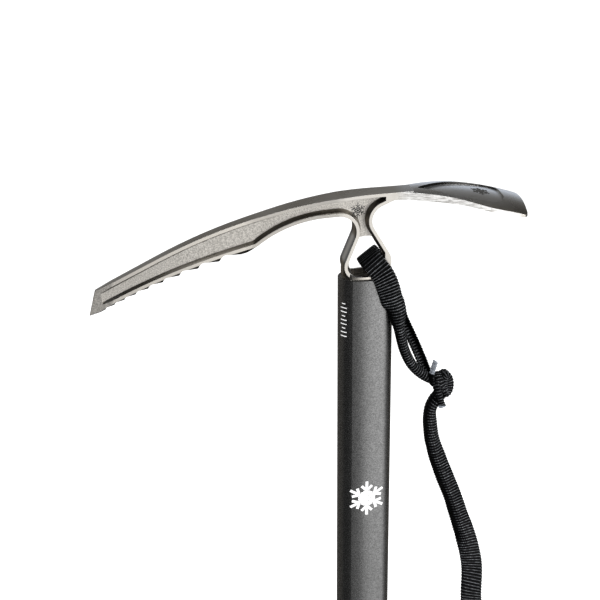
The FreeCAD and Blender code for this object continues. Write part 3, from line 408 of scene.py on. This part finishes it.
def webbing():
    """Black nylon webbing: yarns lie along the ribs and twill crosses them; the rib crests carry a painted
    highlight.
    """
    s = Shader("webbing")
    along = s.attribute("along")
    across = s.attribute("across")
    groove = s.attribute("groove")
    place = s.node("CombineXYZ", {0: along, 1: across}).outputs[0]
    twill = s.node("TexWave", {"Vector": s.stretched(place, (1150.0, 1150.0, 1.0)),
                               "Scale": 0.32, "Distortion": 0.6}, bands_direction="DIAGONAL")
    fibres = s.noise(s.stretched(place, (5200.0, 900.0, 1.0)), 1.0, 3.0, 0.6)
    dusty = s.noise(place, 160.0, 3.0, 0.6)
    yarn = s.maths("MULTIPLY_ADD", fibres, 0.5, s.times(twill.outputs["Fac"], 0.5))
    loops = s.maths("ABSOLUTE", s.maths("SINE", s.times(across, 3400.0)))
    patchy = s.noise(place, 420.0, 2.0, 0.5)
    broken = s.times(s.spread(loops, 0.2, 0.9, 0.12, 1.0),
                     s.spread(patchy, 0.38, 0.62, 0.3, 1.0))
    # Rib crests get a painted highlight: a pale colour and full specular level, broken along the yarn loops and in
    # patches, and left off faces that turn to the left.
    crest_painted_highlight = s.times(s.spread(groove, 0.07, 0.01), broken)
    towards_right = s.axis(s.node("NewGeometry").outputs["Normal"], "X")
    crest_painted_highlight = s.times(crest_painted_highlight, s.spread(towards_right, -0.65, -0.25))
    colour = s.mix(s.spread(yarn, 0.25, 0.8), grey(0.0006, -0.05), grey(0.0030, -0.05))
    colour = s.mix(s.spread(dusty, 0.45, 0.8, 0.0, 0.2), colour, grey(0.010, -0.04))
    colour = s.mix(crest_painted_highlight, colour, grey(0.24, -0.05))
    s.set(Base_Color=colour, Roughness=s.spread(yarn, 0.2, 0.8, 0.44, 0.30),
          Specular_IOR_Level=s.spread(crest_painted_highlight, 0.0, 1.0, 0.05, 1.0),
          Normal=s.bump(yarn, 0.5, 0.12 * MM))
    return s.material


def melted_end():
    """Heat-sealed cut end of the webbing: pale, smooth and uneven."""
    s = Shader("melted_end")
    lumps = s.noise(s.place(), 900.0, 3.0, 0.6)
    colour = s.mix(s.spread(lumps, 0.35, 0.65), grey(0.10, -0.08), grey(0.36, -0.08))
    s.set(Base_Color=colour, Roughness=0.32, Normal=s.bump(lumps, 0.6, 0.2 * MM))
    return s.material


def thread():
    """Dark grey polyester thread."""
    s = Shader("thread")
    twist = s.noise(s.stretched(s.place(), (3000.0, 3000.0, 900.0)), 1.0, 3.0, 0.6)
    colour = s.mix(twist, grey(0.035), grey(0.085))
    s.set(Base_Color=colour, Roughness=0.5, Sheen_Weight=0.2,
          Normal=s.bump(twist, 0.5, 0.1 * MM))
    return s.material


def white_print():
    """Screen-printed white ink that lets a little of the grain through."""
    s = Shader("white_print")
    grain = s.noise(s.place(), 1500.0, 3.0, 0.6)
    colour = s.mix(s.spread(grain, 0.3, 0.7), grey(0.80), grey(0.93))
    s.set(Base_Color=colour, Roughness=0.55, Normal=s.bump(grain, 0.25, 0.05 * MM))
    return s.material


def etched_line():
    """Dark oxide left by laser marking."""
    s = Shader("etched_line")
    grain = s.noise(s.place(), 1800.0, 3.0, 0.6)
    colour = s.mix(grain, grey(0.012, 0.04), grey(0.035, 0.04))
    s.set(Base_Color=colour, Metallic=0.2, Roughness=0.6, Normal=s.bump(grain, 0.4, 0.05 * MM))
    return s.material


# ------------------------------------------------------------------ webbing

WEB_WIDTH = 12.5 * MM
WEB_HALF_THICK = 0.72 * MM
RIB_PITCH = 1.95 * MM
RIB_HEIGHT = 0.42 * MM
ROWS_PER_RIB = 7
PATH_STEPS = 60
LINE_STEPS_PER_COLUMN = 4
FACE_COLUMNS = 15
EDGE_COLUMNS = 3
EDGE_THIN = 0.72
EDGE_RUN = 1.3 * MM


def smoothstep(value):
    value = min(max(value, 0.0), 1.0)
    return value * value * (3 - 2 * value)


class Station:
    """One place on a webbing's path: where it is, where its face looks and how it is folded."""

    def __init__(self, point, facing, fold=0.0, fold_at=0.0, fold_width=0.5, width=1.0):
        self.point = Vector(point)
        self.facing = Vector(facing).normalized()
        self.values = (fold, fold_at, fold_width, width)


def between(stations, i, t):
    """Catmull-Rom point, facing and fold values at share t from station i to the next."""
    count = len(stations)
    picks = [stations[min(max(i + step, 0), count - 1)] for step in (-1, 0, 1, 2)]
    before, here, after, later = [pick.point for pick in picks]
    point = 0.5 * ((2 * here) + (after - before) * t
                   + (2 * before - 5 * here + 4 * after - later) * t * t
                   + (3 * here - before - 3 * after + later) * t ** 3)
    ease = smoothstep(t)
    facing = picks[1].facing.lerp(picks[2].facing, ease)
    values = [a + (b - a) * ease for a, b in zip(picks[1].values, picks[2].values)]
    return point, facing, values


def evenly(stations, step):
    """Points a fixed distance apart along the path, with facing and fold values."""
    fine = []
    for i in range(len(stations) - 1):
        for part in range(PATH_STEPS):
            fine.append(between(stations, i, part / PATH_STEPS))
    fine.append(between(stations, len(stations) - 2, 1.0))
    rows = [fine[0]]
    gone = 0.0
    for last, this in zip(fine, fine[1:]):
        gone += (this[0] - last[0]).length
        if gone >= step:
            rows.append(this)
            gone -= step
    return rows


def section_line(fold, fold_at, fold_width, width):
    """Middle line of a folded section as (across, x, depth, lean) from one edge to the other."""
    half = WEB_WIDTH * width / 2
    steps = FACE_COLUMNS * LINE_STEPS_PER_COLUMN
    line = []
    x = depth = 0.0
    for i in range(steps + 1):
        across = -half + 2 * half * i / steps
        share = (across / WEB_WIDTH - fold_at) / fold_width + 0.5
        lean = fold * (smoothstep(share) - 0.5)
        if i:
            x += math.cos(lean) * 2 * half / steps
            depth += math.sin(lean) * 2 * half / steps
        line.append((across, x, depth, lean))
    middle_x = (line[0][1] + line[-1][1]) / 2
    front = min(entry[2] for entry in line)
    picked = [line[round(i * steps / (FACE_COLUMNS - 1))] for i in range(FACE_COLUMNS)]
    return [(across, x - middle_x, depth - front, lean) for across, x, depth, lean in picked]


def section_ring(values, lift):
    """Closed outline of a section as (place, outward direction, across), x and depth in each."""
    line = section_line(*values)
    half = abs(line[0][0])
    ring = []
    for side, run in ((1, line), (-1, line[::-1])):
        for across, x, depth, lean in run:
            face = Vector((math.sin(lean), -math.cos(lean)))
            full = smoothstep((half - abs(across)) / EDGE_RUN)
            thick = WEB_HALF_THICK * (EDGE_THIN + (1 - EDGE_THIN) * full)
            middle = Vector((x, depth)) + face * lift
            ring.append((middle + face * side * thick, face * side, across))
        sideways = Vector((math.cos(lean), math.sin(lean))) * side
        for i in range(1, EDGE_COLUMNS + 1):
            angle = math.pi * i / (EDGE_COLUMNS + 1)
            out = sideways * math.sin(angle) + face * side * math.cos(angle)
            ring.append((middle + out * WEB_HALF_THICK * EDGE_THIN, out, across))
    return ring


def webbing_mesh(name, stations, lift=0.0, skew=0.0):
    """Ribbed webbing swept along its stations; lift moves it towards its face side."""
    step = RIB_PITCH / ROWS_PER_RIB
    rows = evenly(stations, step)
    count = len(rows)
    places = []
    attributes = {"along": [], "across": [], "groove": []}
    for i, (point, facing, values) in enumerate(rows):
        before = rows[max(i - 1, 0)][0]
        after = rows[min(i + 1, count - 1)][0]
        tangent = (after - before).normalized()
        across_axis = facing.cross(tangent).normalized()
        out_axis = tangent.cross(across_axis).normalized()
        along = i * step
        ring = section_ring(values, lift)
        for flat, out, across in ring:
            wave = abs(math.sin(math.pi * (along + skew * across) / RIB_PITCH))
            flat = flat + out * (wave - 1) * RIB_HEIGHT
            places.append(point + across_axis * flat.x - out_axis * flat.y)
            attributes["along"].append(along)
            attributes["across"].append(across)
            attributes["groove"].append(1 - wave)
    size = len(ring)
    faces = []
    for i in range(count - 1):
        here = i * size
        following = here + size
        for j in range(size):
            side = (j + 1) % size
            faces.append((here + j, here + side, following + side, following + j))
    faces.append(tuple(reversed(range(size))))
    faces.append(tuple(range((count - 1) * size, count * size)))
    obj = mesh_object(name, places, faces)
    for label, numbers in attributes.items():
        layer = obj.data.attributes.new(label, "FLOAT", "POINT")
        layer.data.foreach_set("value", numbers)
    obj.data.update()
    smooth(obj, 60)
    return obj


def leash_piece(name, stations, body, node=None):
    """Black webbing that rides on a leash body and may stand for a CAD node."""
    piece = webbing_mesh(name, stations)
    paint(piece, leash_material)
    if node:
        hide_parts(node)
    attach(piece, body)
    return piece


FRONT = Vector((0, -1, 0))
ROPED = math.radians(205)


def strand(side):
    """Stations from the middle of the eye down to the knot; side is -1 near, 1 far."""
    over_eye = Vector((-0.6, 0, 0.8))
    out = Vector((0, side, 0))
    far = max(side, 0)

    def at(x, y, z, shift=0.0):
        return EYE + offset(x + shift * far, y * side, z)

    turned = (out + Vector((-0.35, 0, 0.1))).normalized()
    roped = ROPED * (0.95 if far else 1.0)
    return [
        Station(at(0, 0, 0), over_eye),
        Station(at(0, 3.4, 0), over_eye),
        Station(at(1.0, 7.0, -1.0), over_eye.lerp(out, 0.4)),
        Station(at(3.4, 9.8, -3.8), over_eye.lerp(out, 0.8)),
        Station(at(6.6, 11.0, -8.2), out),
        Station(at(9.6, 11.2, -15.0), out),
        Station(at(12.6, 11.2, -25.2, 2.0), out, 0.5),
        Station(at(14.9, 11.1, -35.7, 4.0), turned, 1.7, 0.0, 0.9),
        Station(at(17.4, 10.0, -47.7, 6.2), turned, roped, 0.0, 1.0, 0.92),
        Station(at(21.0, 7.6, -60.7, 8.2), turned, roped, 0.0, 1.0, 0.86),
        Station(at(26.2, 5.2, -71.8, 7.4), turned, roped, 0.0, 1.0, 0.82),
        Station(at(32.8, 3.8, -79.6, 4.0), turned, ROPED, 0.0, 1.0, 0.8),
        Station(at(40.2, 2.8, -84.8, 1.0), turned, ROPED, 0.0, 1.0, 0.8),
        Station(at(44.7, 2.0, -86.8), turned, ROPED, 0.0, 1.0, 0.8),
    ]


def head_loop():
    """Both strands and the crossing through the eye as one length of webbing."""
    near = strand(-1)
    far = strand(1)
    leash_piece("leash_head_loop_webbing", near[::-1] + far[1:], "leash_upper", "leash_head_loop")


def tether_stations():
    """Doubled webbing from inside the knot down to the wrist loop."""
    end = on_slide_line(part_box("wrist_loop")[1].z)
    creased = math.radians(95)

    def at(x, z):
        return KNOT + offset(x, 0, z)

    front_left = Vector((-0.25, -1, 0))
    return [
        Station(at(-1.5, -6.0), (-0.7, -1, 0.3), ROPED, 0.0, 1.0, 0.8),
        Station(at(-6.2, -11.5), (-0.6, -1, 0.1), ROPED, 0.0, 1.0, 0.86),
        Station(at(-8.8, -18.5), (-0.5, -1, 0), ROPED, 0.0, 0.9, 0.9),
        Station(at(-8.6, -28.0), (-0.4, -1, 0), 2.9, -0.05, 0.8, 0.94),
        Station(at(-6.4, -40.5), front_left, 2.5, -0.12, 0.6),
        Station(at(-2.3, -54.0), front_left, creased * 1.15, -0.08, 0.4),
        Station(at(2.7, -68.0), front_left, creased, -0.08, 0.3),
        Station(at(7.4, -80.5), front_left, creased, -0.08, 0.3),
        Station(at(11.6, -94.0), front_left, creased * 0.9, -0.08, 0.3),
        Station(at(15.6, -106.0), front_left, creased * 0.7, -0.12, 0.35),
        Station(at(19.4, -119.0), FRONT, 0.4, -0.15, 0.4),
        Station(at(21.8, -134.0), FRONT),
        Station(end + SLIDE_AXIS * 30 * MM, FRONT),
        Station(end + SLIDE_AXIS * 15 * MM, FRONT),
        Station(end, FRONT),
    ]


PLY_GAP = 0.44 * MM


def tether():
    """Front and back ply that stand for the tether's CAD nodes, from the knot down to the wrist loop."""
    stations = tether_stations()
    spacing = WEB_HALF_THICK + PLY_GAP / 2
    for name, node, lift in (("leash_tether_front_webbing", "leash_tether_front", spacing),
                             ("leash_tether_back_webbing", "leash_tether_back", -spacing)):
        piece = webbing_mesh(name, stations, lift, skew=-0.3)
        paint(piece, leash_material)
        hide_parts(node)
        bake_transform(piece)


def knot_ring(centre, normal, reach, start, stop, fold, width):
    """Stations on an oval arc round normal, facing outwards; angles in degrees from +X."""
    steps = 14
    normal = Vector(normal).normalized()
    first = (Vector((1, 0, 0)) - normal * normal.x).normalized()
    second = normal.cross(first)
    stations = []
    for i in range(steps + 1):
        angle = math.radians(start + (stop - start) * i / steps)
        swing = first * math.cos(angle) * reach[0] + second * math.sin(angle) * reach[1]
        outwards = first * math.cos(angle) * reach[1] + second * math.sin(angle) * reach[0]
        stations.append(Station(centre + swing * MM, outwards, fold, 0.0, 1.0, width))
    return stations


def knot():
    """Overhand knot: two fat turns side by side, a low turn and one that locks them."""
    turns = [
        ("leash_knot_outer_turn", knot_ring(KNOT + offset(0.6, -2.6, 0.4), (0.08, -1, 0.12),
                                            (4.2, 7.6), 215, -150, math.radians(225), 0.9)),
        ("leash_knot_inner_turn", knot_ring(KNOT + offset(0.2, 2.8, 0.6), (-0.1, -1, -0.15),
                                            (4.2, 7.2), 200, -165, math.radians(225), 0.86)),
        ("leash_knot_low_turn", knot_ring(KNOT + offset(-1.6, 0.2, -4.6), (0.25, -0.4, 0.85),
                                          (3.6, 5.2), -170, 170, math.radians(200), 0.7)),
        ("leash_knot_locking_turn", knot_ring(KNOT + offset(-3.4, -0.2, 1.6), (1, -0.12, 0.35),
                                              (5.6, 5.8), -200, 150, math.radians(150), 0.6)),
    ]
    stands_for = {"leash_knot_outer_turn": "leash_knot"}
    for name, stations in turns:
        leash_piece(name, stations, "leash_upper", stands_for.get(name))


# How much of each cut end is melted, measured up or down from its tip.
SEALED_UPPER = 8.0 * MM
SEALED_LOWER = 1.6 * MM


def tails():
    """Cut ends of the webbing: one stands up behind the neck, one hangs in front."""
    upper = [
        Station(KNOT + offset(-8.4, -4.6, 1.0), (-1, -0.6, 0.3), 1.6, 0.0, 0.9, 0.28),
        Station(KNOT + offset(-9.6, -5.0, 8.0), (-1, -0.5, 0.4), 0.8, 0.0, 0.9, 0.28),
        Station(KNOT + offset(-7.0, -4.8, 18.0), (-1, -0.4, 0.5), 0.3, 0.0, 0.9, 0.28),
    ]
    lower = [
        Station(KNOT + offset(-6.4, -4.6, 5.0), (-0.6, -1, 0.1), 1.6, 0.0, 0.9, 0.3),
        Station(KNOT + offset(-6.4, -6.2, 0.0), (-0.6, -1, 0.0), 1.6, 0.0, 0.9, 0.32),
        Station(KNOT + offset(-5.0, -6.6, -5.5), (-0.5, -1, 0), 1.6, 0.0, 0.9, 0.32),
        Station(KNOT + offset(-3.2, -6.2, -10.5), (-0.3, -1, 0), 1.2, 0.0, 0.9, 0.3),
        Station(KNOT + offset(-2.0, -5.8, -13.6), (-0.2, -1, 0), 0.8, 0.0, 0.9, 0.3),
    ]
    for name, stations, sealed, node in (("leash_tail_upper", upper, SEALED_UPPER, "leash_tails"),
                                         ("leash_tail_lower", lower, SEALED_LOWER, None)):
        piece = leash_piece(name, stations, "leash_upper", node)
        piece.data.materials.append(sealed_material)
        tip = stations[-1].point
        for face in piece.data.polygons:
            if abs(face.center.z - tip.z) < sealed:
                face.material_index = 1


def wrist_loop():
    """Loop of webbing that opens towards both sides of the shaft, with a stitched throat."""
    low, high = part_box("wrist_loop")
    top = on_slide_line(high.z)
    half = high.y - WEB_HALF_THICK - RIB_HEIGHT / 2
    length = (top.z - low.z) / SLIDE_AXIS.z
    throat = WEB_HALF_THICK + 0.25 * MM
    lift = 1.2 * MM

    def at(y, down):
        return top + Vector((0, y, 0)) - SLIDE_AXIS * down

    def facing(y, down):
        return Vector((0, y, 0)) - SLIDE_AXIS * down

    foot = length - half
    side = [
        Station(at(throat, 0.4 * MM), facing(1, 0)),
        Station(at(throat + 0.3 * MM, 9 * MM), facing(1, 0)),
        Station(at(half * 0.28, 24 * MM), facing(1, -0.45)),
        Station(at(half * 0.72, 48 * MM), facing(1, -0.45)),
        Station(at(half * 0.95, 70 * MM), facing(1, -0.2)),
        Station(at(half, 92 * MM), facing(1, 0)),
        Station(at(half * 0.98, foot + 4 * MM), facing(1, 0.05)),
    ]
    for degrees in (25, 50, 75):
        angle = math.radians(degrees)
        side.append(Station(at(half * math.cos(angle), foot + (half - lift) * math.sin(angle)),
                            facing(math.cos(angle), math.sin(angle))))
    bottom = Station(at(0, length - lift), facing(0, 1))
    mirrored = []
    for station in reversed(side):
        point = Vector((station.point.x, -station.point.y, station.point.z))
        face = Vector((station.facing.x, -station.facing.y, station.facing.z))
        mirrored.append(Station(point, face))
    leash_piece("wrist_loop_webbing", side + [bottom] + mirrored, "leash_lower", "wrist_loop")


STITCH_ROWS = 5
STITCHES_PER_ROW = 9
STITCH_SPACING = 1.15 * MM
STITCH_ROW_SPACING = 0.9 * MM
FIRST_STITCH_ROW_DOWN = 2.2 * MM
STITCH_STANDOFF = 0.42 * MM


def stitches():
    """Bar tacks of grey thread that hold the wrist loop's throat to the doubled webbing."""
    top = on_slide_line(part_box("wrist_loop")[1].z)
    across = Vector((SLIDE_AXIS.z, 0, -SLIDE_AXIS.x))
    vertices = []
    faces = []
    for side in (-1, 1):
        out = Vector((0, side, 0))
        for row in range(STITCH_ROWS):
            down = FIRST_STITCH_ROW_DOWN + row * STITCH_ROW_SPACING
            for place in range(STITCHES_PER_ROW):
                sideways = (place - (STITCHES_PER_ROW - 1) / 2) * STITCH_SPACING
                centre = top - SLIDE_AXIS * down + across * sideways
                centre += out * (2 * WEB_HALF_THICK + STITCH_STANDOFF)
                add_thread(vertices, faces, centre, across, SLIDE_AXIS, out)
    piece = mesh_object("wrist_loop_stitches", vertices, faces)
    smooth(piece, 80)
    paint(piece, thread_material)
    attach(piece, "leash_lower")


def add_thread(vertices, faces, centre, along, across, out):
    """One short stitch: an arched round yarn pressed into the webbing."""
    rings = 5
    sides = 6
    half = 0.52 * MM
    radius = 0.2 * MM
    arch = 0.22 * MM
    start = len(vertices)
    for i in range(rings):
        share = i / (rings - 1) * 2 - 1
        middle = centre + along * half * share + out * (1 - share * share) * arch
        for j in range(sides):
            angle = 2 * math.pi * j / sides
            vertices.append(middle + (across * math.cos(angle) + out * math.sin(angle)) * radius)
    for i in range(rings - 1):
        for j in range(sides):
            here = start + i * sides
            side = (j + 1) % sides
            faces.append((here + j, here + side, here + sides + side, here + sides + j))
    faces.append(tuple(start + j for j in reversed(range(sides))))
    last = start + (rings - 1) * sides
    faces.append(tuple(last + j for j in range(sides)))


# ------------------------------------------------------------------ printed and etched marks

def snowflake_bars(size, stroke):
    """Six-armed flake as straight bars (start, end, width) around the origin."""
    bars = []
    for arm in range(6):
        turn = Matrix.Rotation(math.radians(60 * arm + 30), 2)
        for start, end in (((0, 0), (1, 0)),
                           ((0.46, 0), (0.74, 0.28)), ((0.46, 0), (0.74, -0.28)),
                           ((0.20, 0), (0.40, 0.20)), ((0.20, 0), (0.40, -0.20))):
            first = turn @ Vector(start) * size
            second = turn @ Vector(end) * size
            bars.append((first, second, stroke))
    return bars


def landing(surface, start, look):
    """Where a ray meets the surface; a ray that slips through a seam is tried again beside it."""
    for nudge in (0.0, 0.01 * MM, 0.03 * MM):
        hit = surface.ray_cast(start + Vector((nudge, nudge, nudge)), look)[0]
        if hit:
            return hit
    raise ValueError("a mark misses its surface")


BAR_SEGMENTS = 24
# Each bar stands this share higher than the one before, so that crossing bars don't coincide.
BAR_STEP = 0.03
RAY_START = 30 * MM


def mark(name, bars, node, centre, axes, thickness, material):
    """Lays thin bars on a CAD node of the axe; axes are the mark's right, its up and the
    direction it is pressed along."""
    right, up, look = axes
    source = nodes[node]
    surface = BVHTree.FromPolygons([v.co for v in source.data.vertices],
                                   [p.vertices for p in source.data.polygons])
    vertices = []
    faces = []
    for number, (start, end, width) in enumerate(bars):
        lift = thickness * (1 + number * BAR_STEP)
        along = (end - start).normalized()
        side = Vector((-along.y, along.x)) * width / 2
        first = len(vertices)
        for i in range(BAR_SEGMENTS + 1):
            middle = start.lerp(end, i / BAR_SEGMENTS)
            for flat in (middle - side, middle + side):
                above = centre + right * flat.x + up * flat.y - look * RAY_START
                hit = landing(surface, above, look)
                vertices.append(hit - look * lift)
                vertices.append(hit + look * thickness)
        for i in range(BAR_SEGMENTS):
            a = first + i * 4
            b = a + 4
            faces += [(a, a + 2, b + 2, b), (a + 1, b + 1, b + 3, a + 3),
                      (a, b, b + 1, a + 1), (a + 2, a + 3, b + 3, b + 2)]
        last = first + BAR_SEGMENTS * 4
        faces += [(first, first + 1, first + 3, first + 2), (last, last + 2, last + 3, last + 1)]
    piece = mesh_object(name, vertices, faces)
    paint(piece, material)
    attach(piece, "axe")


EAST = Vector((1, 0, 0))
UP = Vector((0, 0, 1))
AWAY = Vector((0, 1, 0))
PRINT_THICKNESS = 0.07 * MM
TICK_THICKNESS = 0.03 * MM
ETCH_THICKNESS = 0.04 * MM


def shaft_flake(ink):
    """Large white flake on the shaft's face."""
    middle = Vector((0, 0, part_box("shaft_tube")[1].z - 144.6 * MM))
    mark("shaft_flake_print", snowflake_bars(11.6 * MM, 1.7 * MM), "shaft_tube", middle,
         (EAST, UP, AWAY), PRINT_THICKNESS, ink)


def shaft_ticks(ink):
    """Column of white ticks on the shaft's left shoulder; every third one is short."""
    low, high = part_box("shaft_tube")
    ticks = []
    for i in range(9):
        half = (2.1 if i % 3 else 1.2) * MM
        height = -i * 2.6 * MM
        ticks.append((Vector((-half, height)), Vector((half, height)), 0.55 * MM))
    leaning = Vector((0.62, -0.78, 0)).normalized()
    pressed = Vector((0.78, 0.62, 0))
    top = Vector((low.x + 2.4 * MM, -5.4 * MM, high.z - 14.5 * MM))
    mark("shaft_tick_print", ticks, "shaft_tube", top, (leaning, UP, pressed),
         TICK_THICKNESS, ink)


def web_flake(etched):
    """Small dark flake on the head's web, over the neck."""
    middle = Vector((-5.0 * MM, 0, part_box("head")[1].z - 10.6 * MM))
    mark("web_flake_etched", snowflake_bars(4.8 * MM, 0.42 * MM), "head", middle,
         (EAST, UP, AWAY), ETCH_THICKNESS, etched)


def adze_flake(etched):
    """Dark flake in the adze's palm."""
    middle = Vector((68 * MM, 0.23 * MM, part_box("head")[1].z))
    mark("adze_flake_etched", snowflake_bars(5.6 * MM, 1.0 * MM), "head", middle,
         (EAST, AWAY, -UP), ETCH_THICKNESS, etched)


def marks():
    ink = white_print()
    etched = etched_line()
    shaft_flake(ink)
    shaft_ticks(ink)
    web_flake(etched)
    adze_flake(etched)


# ------------------------------------------------------------------ stage

# How much brighter than white the front is for metals.
FRONT_GAIN = 3.0


def studio_world():
    """White room for camera and diffuse rays; metals see a bright front and a dark rest."""
    world = bpy.data.worlds.new("studio")
    bpy.context.scene.world = world
    world.use_nodes = True
    w = Nodes(world.node_tree)
    direction = w.node("TexCoord").outputs["Generated"]

    def along(letter):
        """The direction's part along an axis, moved from -1..1 to 0..1."""
        return w.maths("MULTIPLY_ADD", w.axis(direction, letter), 0.5, 0.5)

    left_to_right = w.ramp(along("X"), [
        (0.20, grey(0.005)), (0.44, grey(0.02)), (0.54, grey(0.30)), (0.60, grey(0.60)),
        (0.80, grey(0.72)), (0.95, grey(0.06)),
    ])
    down_to_up = w.ramp(along("Z"), [
        (0.0, grey(0.02)), (0.13, grey(0.04)), (0.23, grey(0.75)), (0.30, grey(1.0)),
        (0.40, grey(0.9)), (0.54, grey(0.2)), (0.70, grey(0.05)),
    ])
    in_front = w.scaled(w.scaled(left_to_right, FRONT_GAIN), down_to_up)
    behind = w.ramp(along("Z"), [
        (0.10, grey(0.08, 0.06)), (0.38, grey(0.12, 0.10)), (0.47, grey(0.70, -0.05)),
        (0.56, grey(0.62, -0.05)), (0.64, grey(0.30)), (0.71, grey(0.13, 0.10)),
        (0.84, grey(0.04, 0.06)), (1.0, grey(0.10)),
    ])
    front_share = w.ramp(along("Y"), [
        (0.34, grey(1.0)), (0.58, grey(0.0)),
    ])
    seen_by_metal = w.mix(front_share, behind, in_front)
    glossy = w.node("LightPath").outputs["Is Glossy Ray"]
    background = world.node_tree.nodes["Background"]
    w.put(background.inputs["Color"], w.mix(glossy, grey(0.95), seen_by_metal))
    w.put(background.inputs["Strength"], 1.0)


def floor():
    """Pale floor that runs out of sight."""
    reach = 12.0
    below_spike = 0.5 * MM
    corners = [(-reach, -reach, 0), (reach, -reach, 0), (reach, reach, 0), (-reach, reach, 0)]
    piece = mesh_object("floor", corners, [(0, 1, 2, 3)])
    piece.location.z = -below_spike
    s = Shader("floor")
    s.set(Base_Color=grey(0.82), Roughness=0.9, Emission_Color=grey(1.0), Emission_Strength=0.35)
    paint(piece, s.material)
    piece.visible_glossy = False


def lamp(name, place, target, width, height, power):
    """Rectangular lamp that looks at target; sizes in metres, power in watts."""
    light = bpy.data.lights.new(name, "AREA")
    light.shape = "RECTANGLE"
    light.size = width
    light.size_y = height
    light.energy = power
    obj = bpy.data.objects.new(name, light)
    bpy.context.scene.collection.objects.link(obj)
    obj.location = place
    obj.rotation_euler = (Vector(target) - Vector(place)).to_track_quat("-Z", "Y").to_euler()


def lamps():
    head = box_centre("head")
    lamp("overhead", (0.1, 0.0, 1.9), head, 1.2, 1.2, 16)
    lamp("front_right", (1.1, -1.3, 1.0), head, 0.9, 1.2, 18)


# Where the camera stands round the object, how far it looks down, its small roll, its
# distance and lens, and how far it aims left of the shaft's axis and below the head's top.
VIEW_AZIMUTH = math.radians(11.47)
VIEW_ELEVATION = math.radians(24.55)
VIEW_ROLL = math.radians(0.371)
VIEW_DISTANCE = 1.0946
VIEW_LENS = 112.98
VIEW_SENSOR = 36.0
VIEW_AIM_LEFT = 38.8 * MM
VIEW_AIM_DOWN = 64.3 * MM


def camera():
    data = bpy.data.cameras.new("camera")
    data.lens = VIEW_LENS
    data.sensor_width = VIEW_SENSOR
    obj = bpy.data.objects.new("camera", data)
    bpy.context.scene.collection.objects.link(obj)
    ahead = Vector((math.sin(VIEW_AZIMUTH) * math.cos(VIEW_ELEVATION),
                    math.cos(VIEW_AZIMUTH) * math.cos(VIEW_ELEVATION),
                    -math.sin(VIEW_ELEVATION)))
    right = Vector((math.cos(VIEW_AZIMUTH), -math.sin(VIEW_AZIMUTH), 0))
    up = right.cross(ahead)
    rolled_right = right * math.cos(VIEW_ROLL) - up * math.sin(VIEW_ROLL)
    rolled_up = right * math.sin(VIEW_ROLL) + up * math.cos(VIEW_ROLL)
    aim = Vector((-VIEW_AIM_LEFT, 0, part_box("head")[1].z - VIEW_AIM_DOWN))
    place = aim - ahead * VIEW_DISTANCE
    turn = Matrix((rolled_right, rolled_up, -ahead)).transposed().to_4x4()
    obj.matrix_world = Matrix.Translation(place) @ turn
    bpy.context.scene.camera = obj


# ------------------------------------------------------------------ build

leash_material = webbing()
sealed_material = melted_end()
thread_material = thread()

finishes = {
    "cast_steel": cast_steel(),
    "spike_steel": spike_steel(),
    "anodised_tube": anodised_tube(),
    "pin_steel": pin_steel(),
    "adhesive": adhesive(),
    "slider_plastic": slider_plastic(),
    "webbing": leash_material,
}
for node_name, slot_name in slots.items():
    paint(nodes[node_name], finishes[slot_name])

head_loop()
tether()
knot()
tails()
wrist_loop()
stitches()
marks()

studio_world()
floor()
lamps()
camera()
bpy.context.scene.view_settings.view_transform = "Standard"
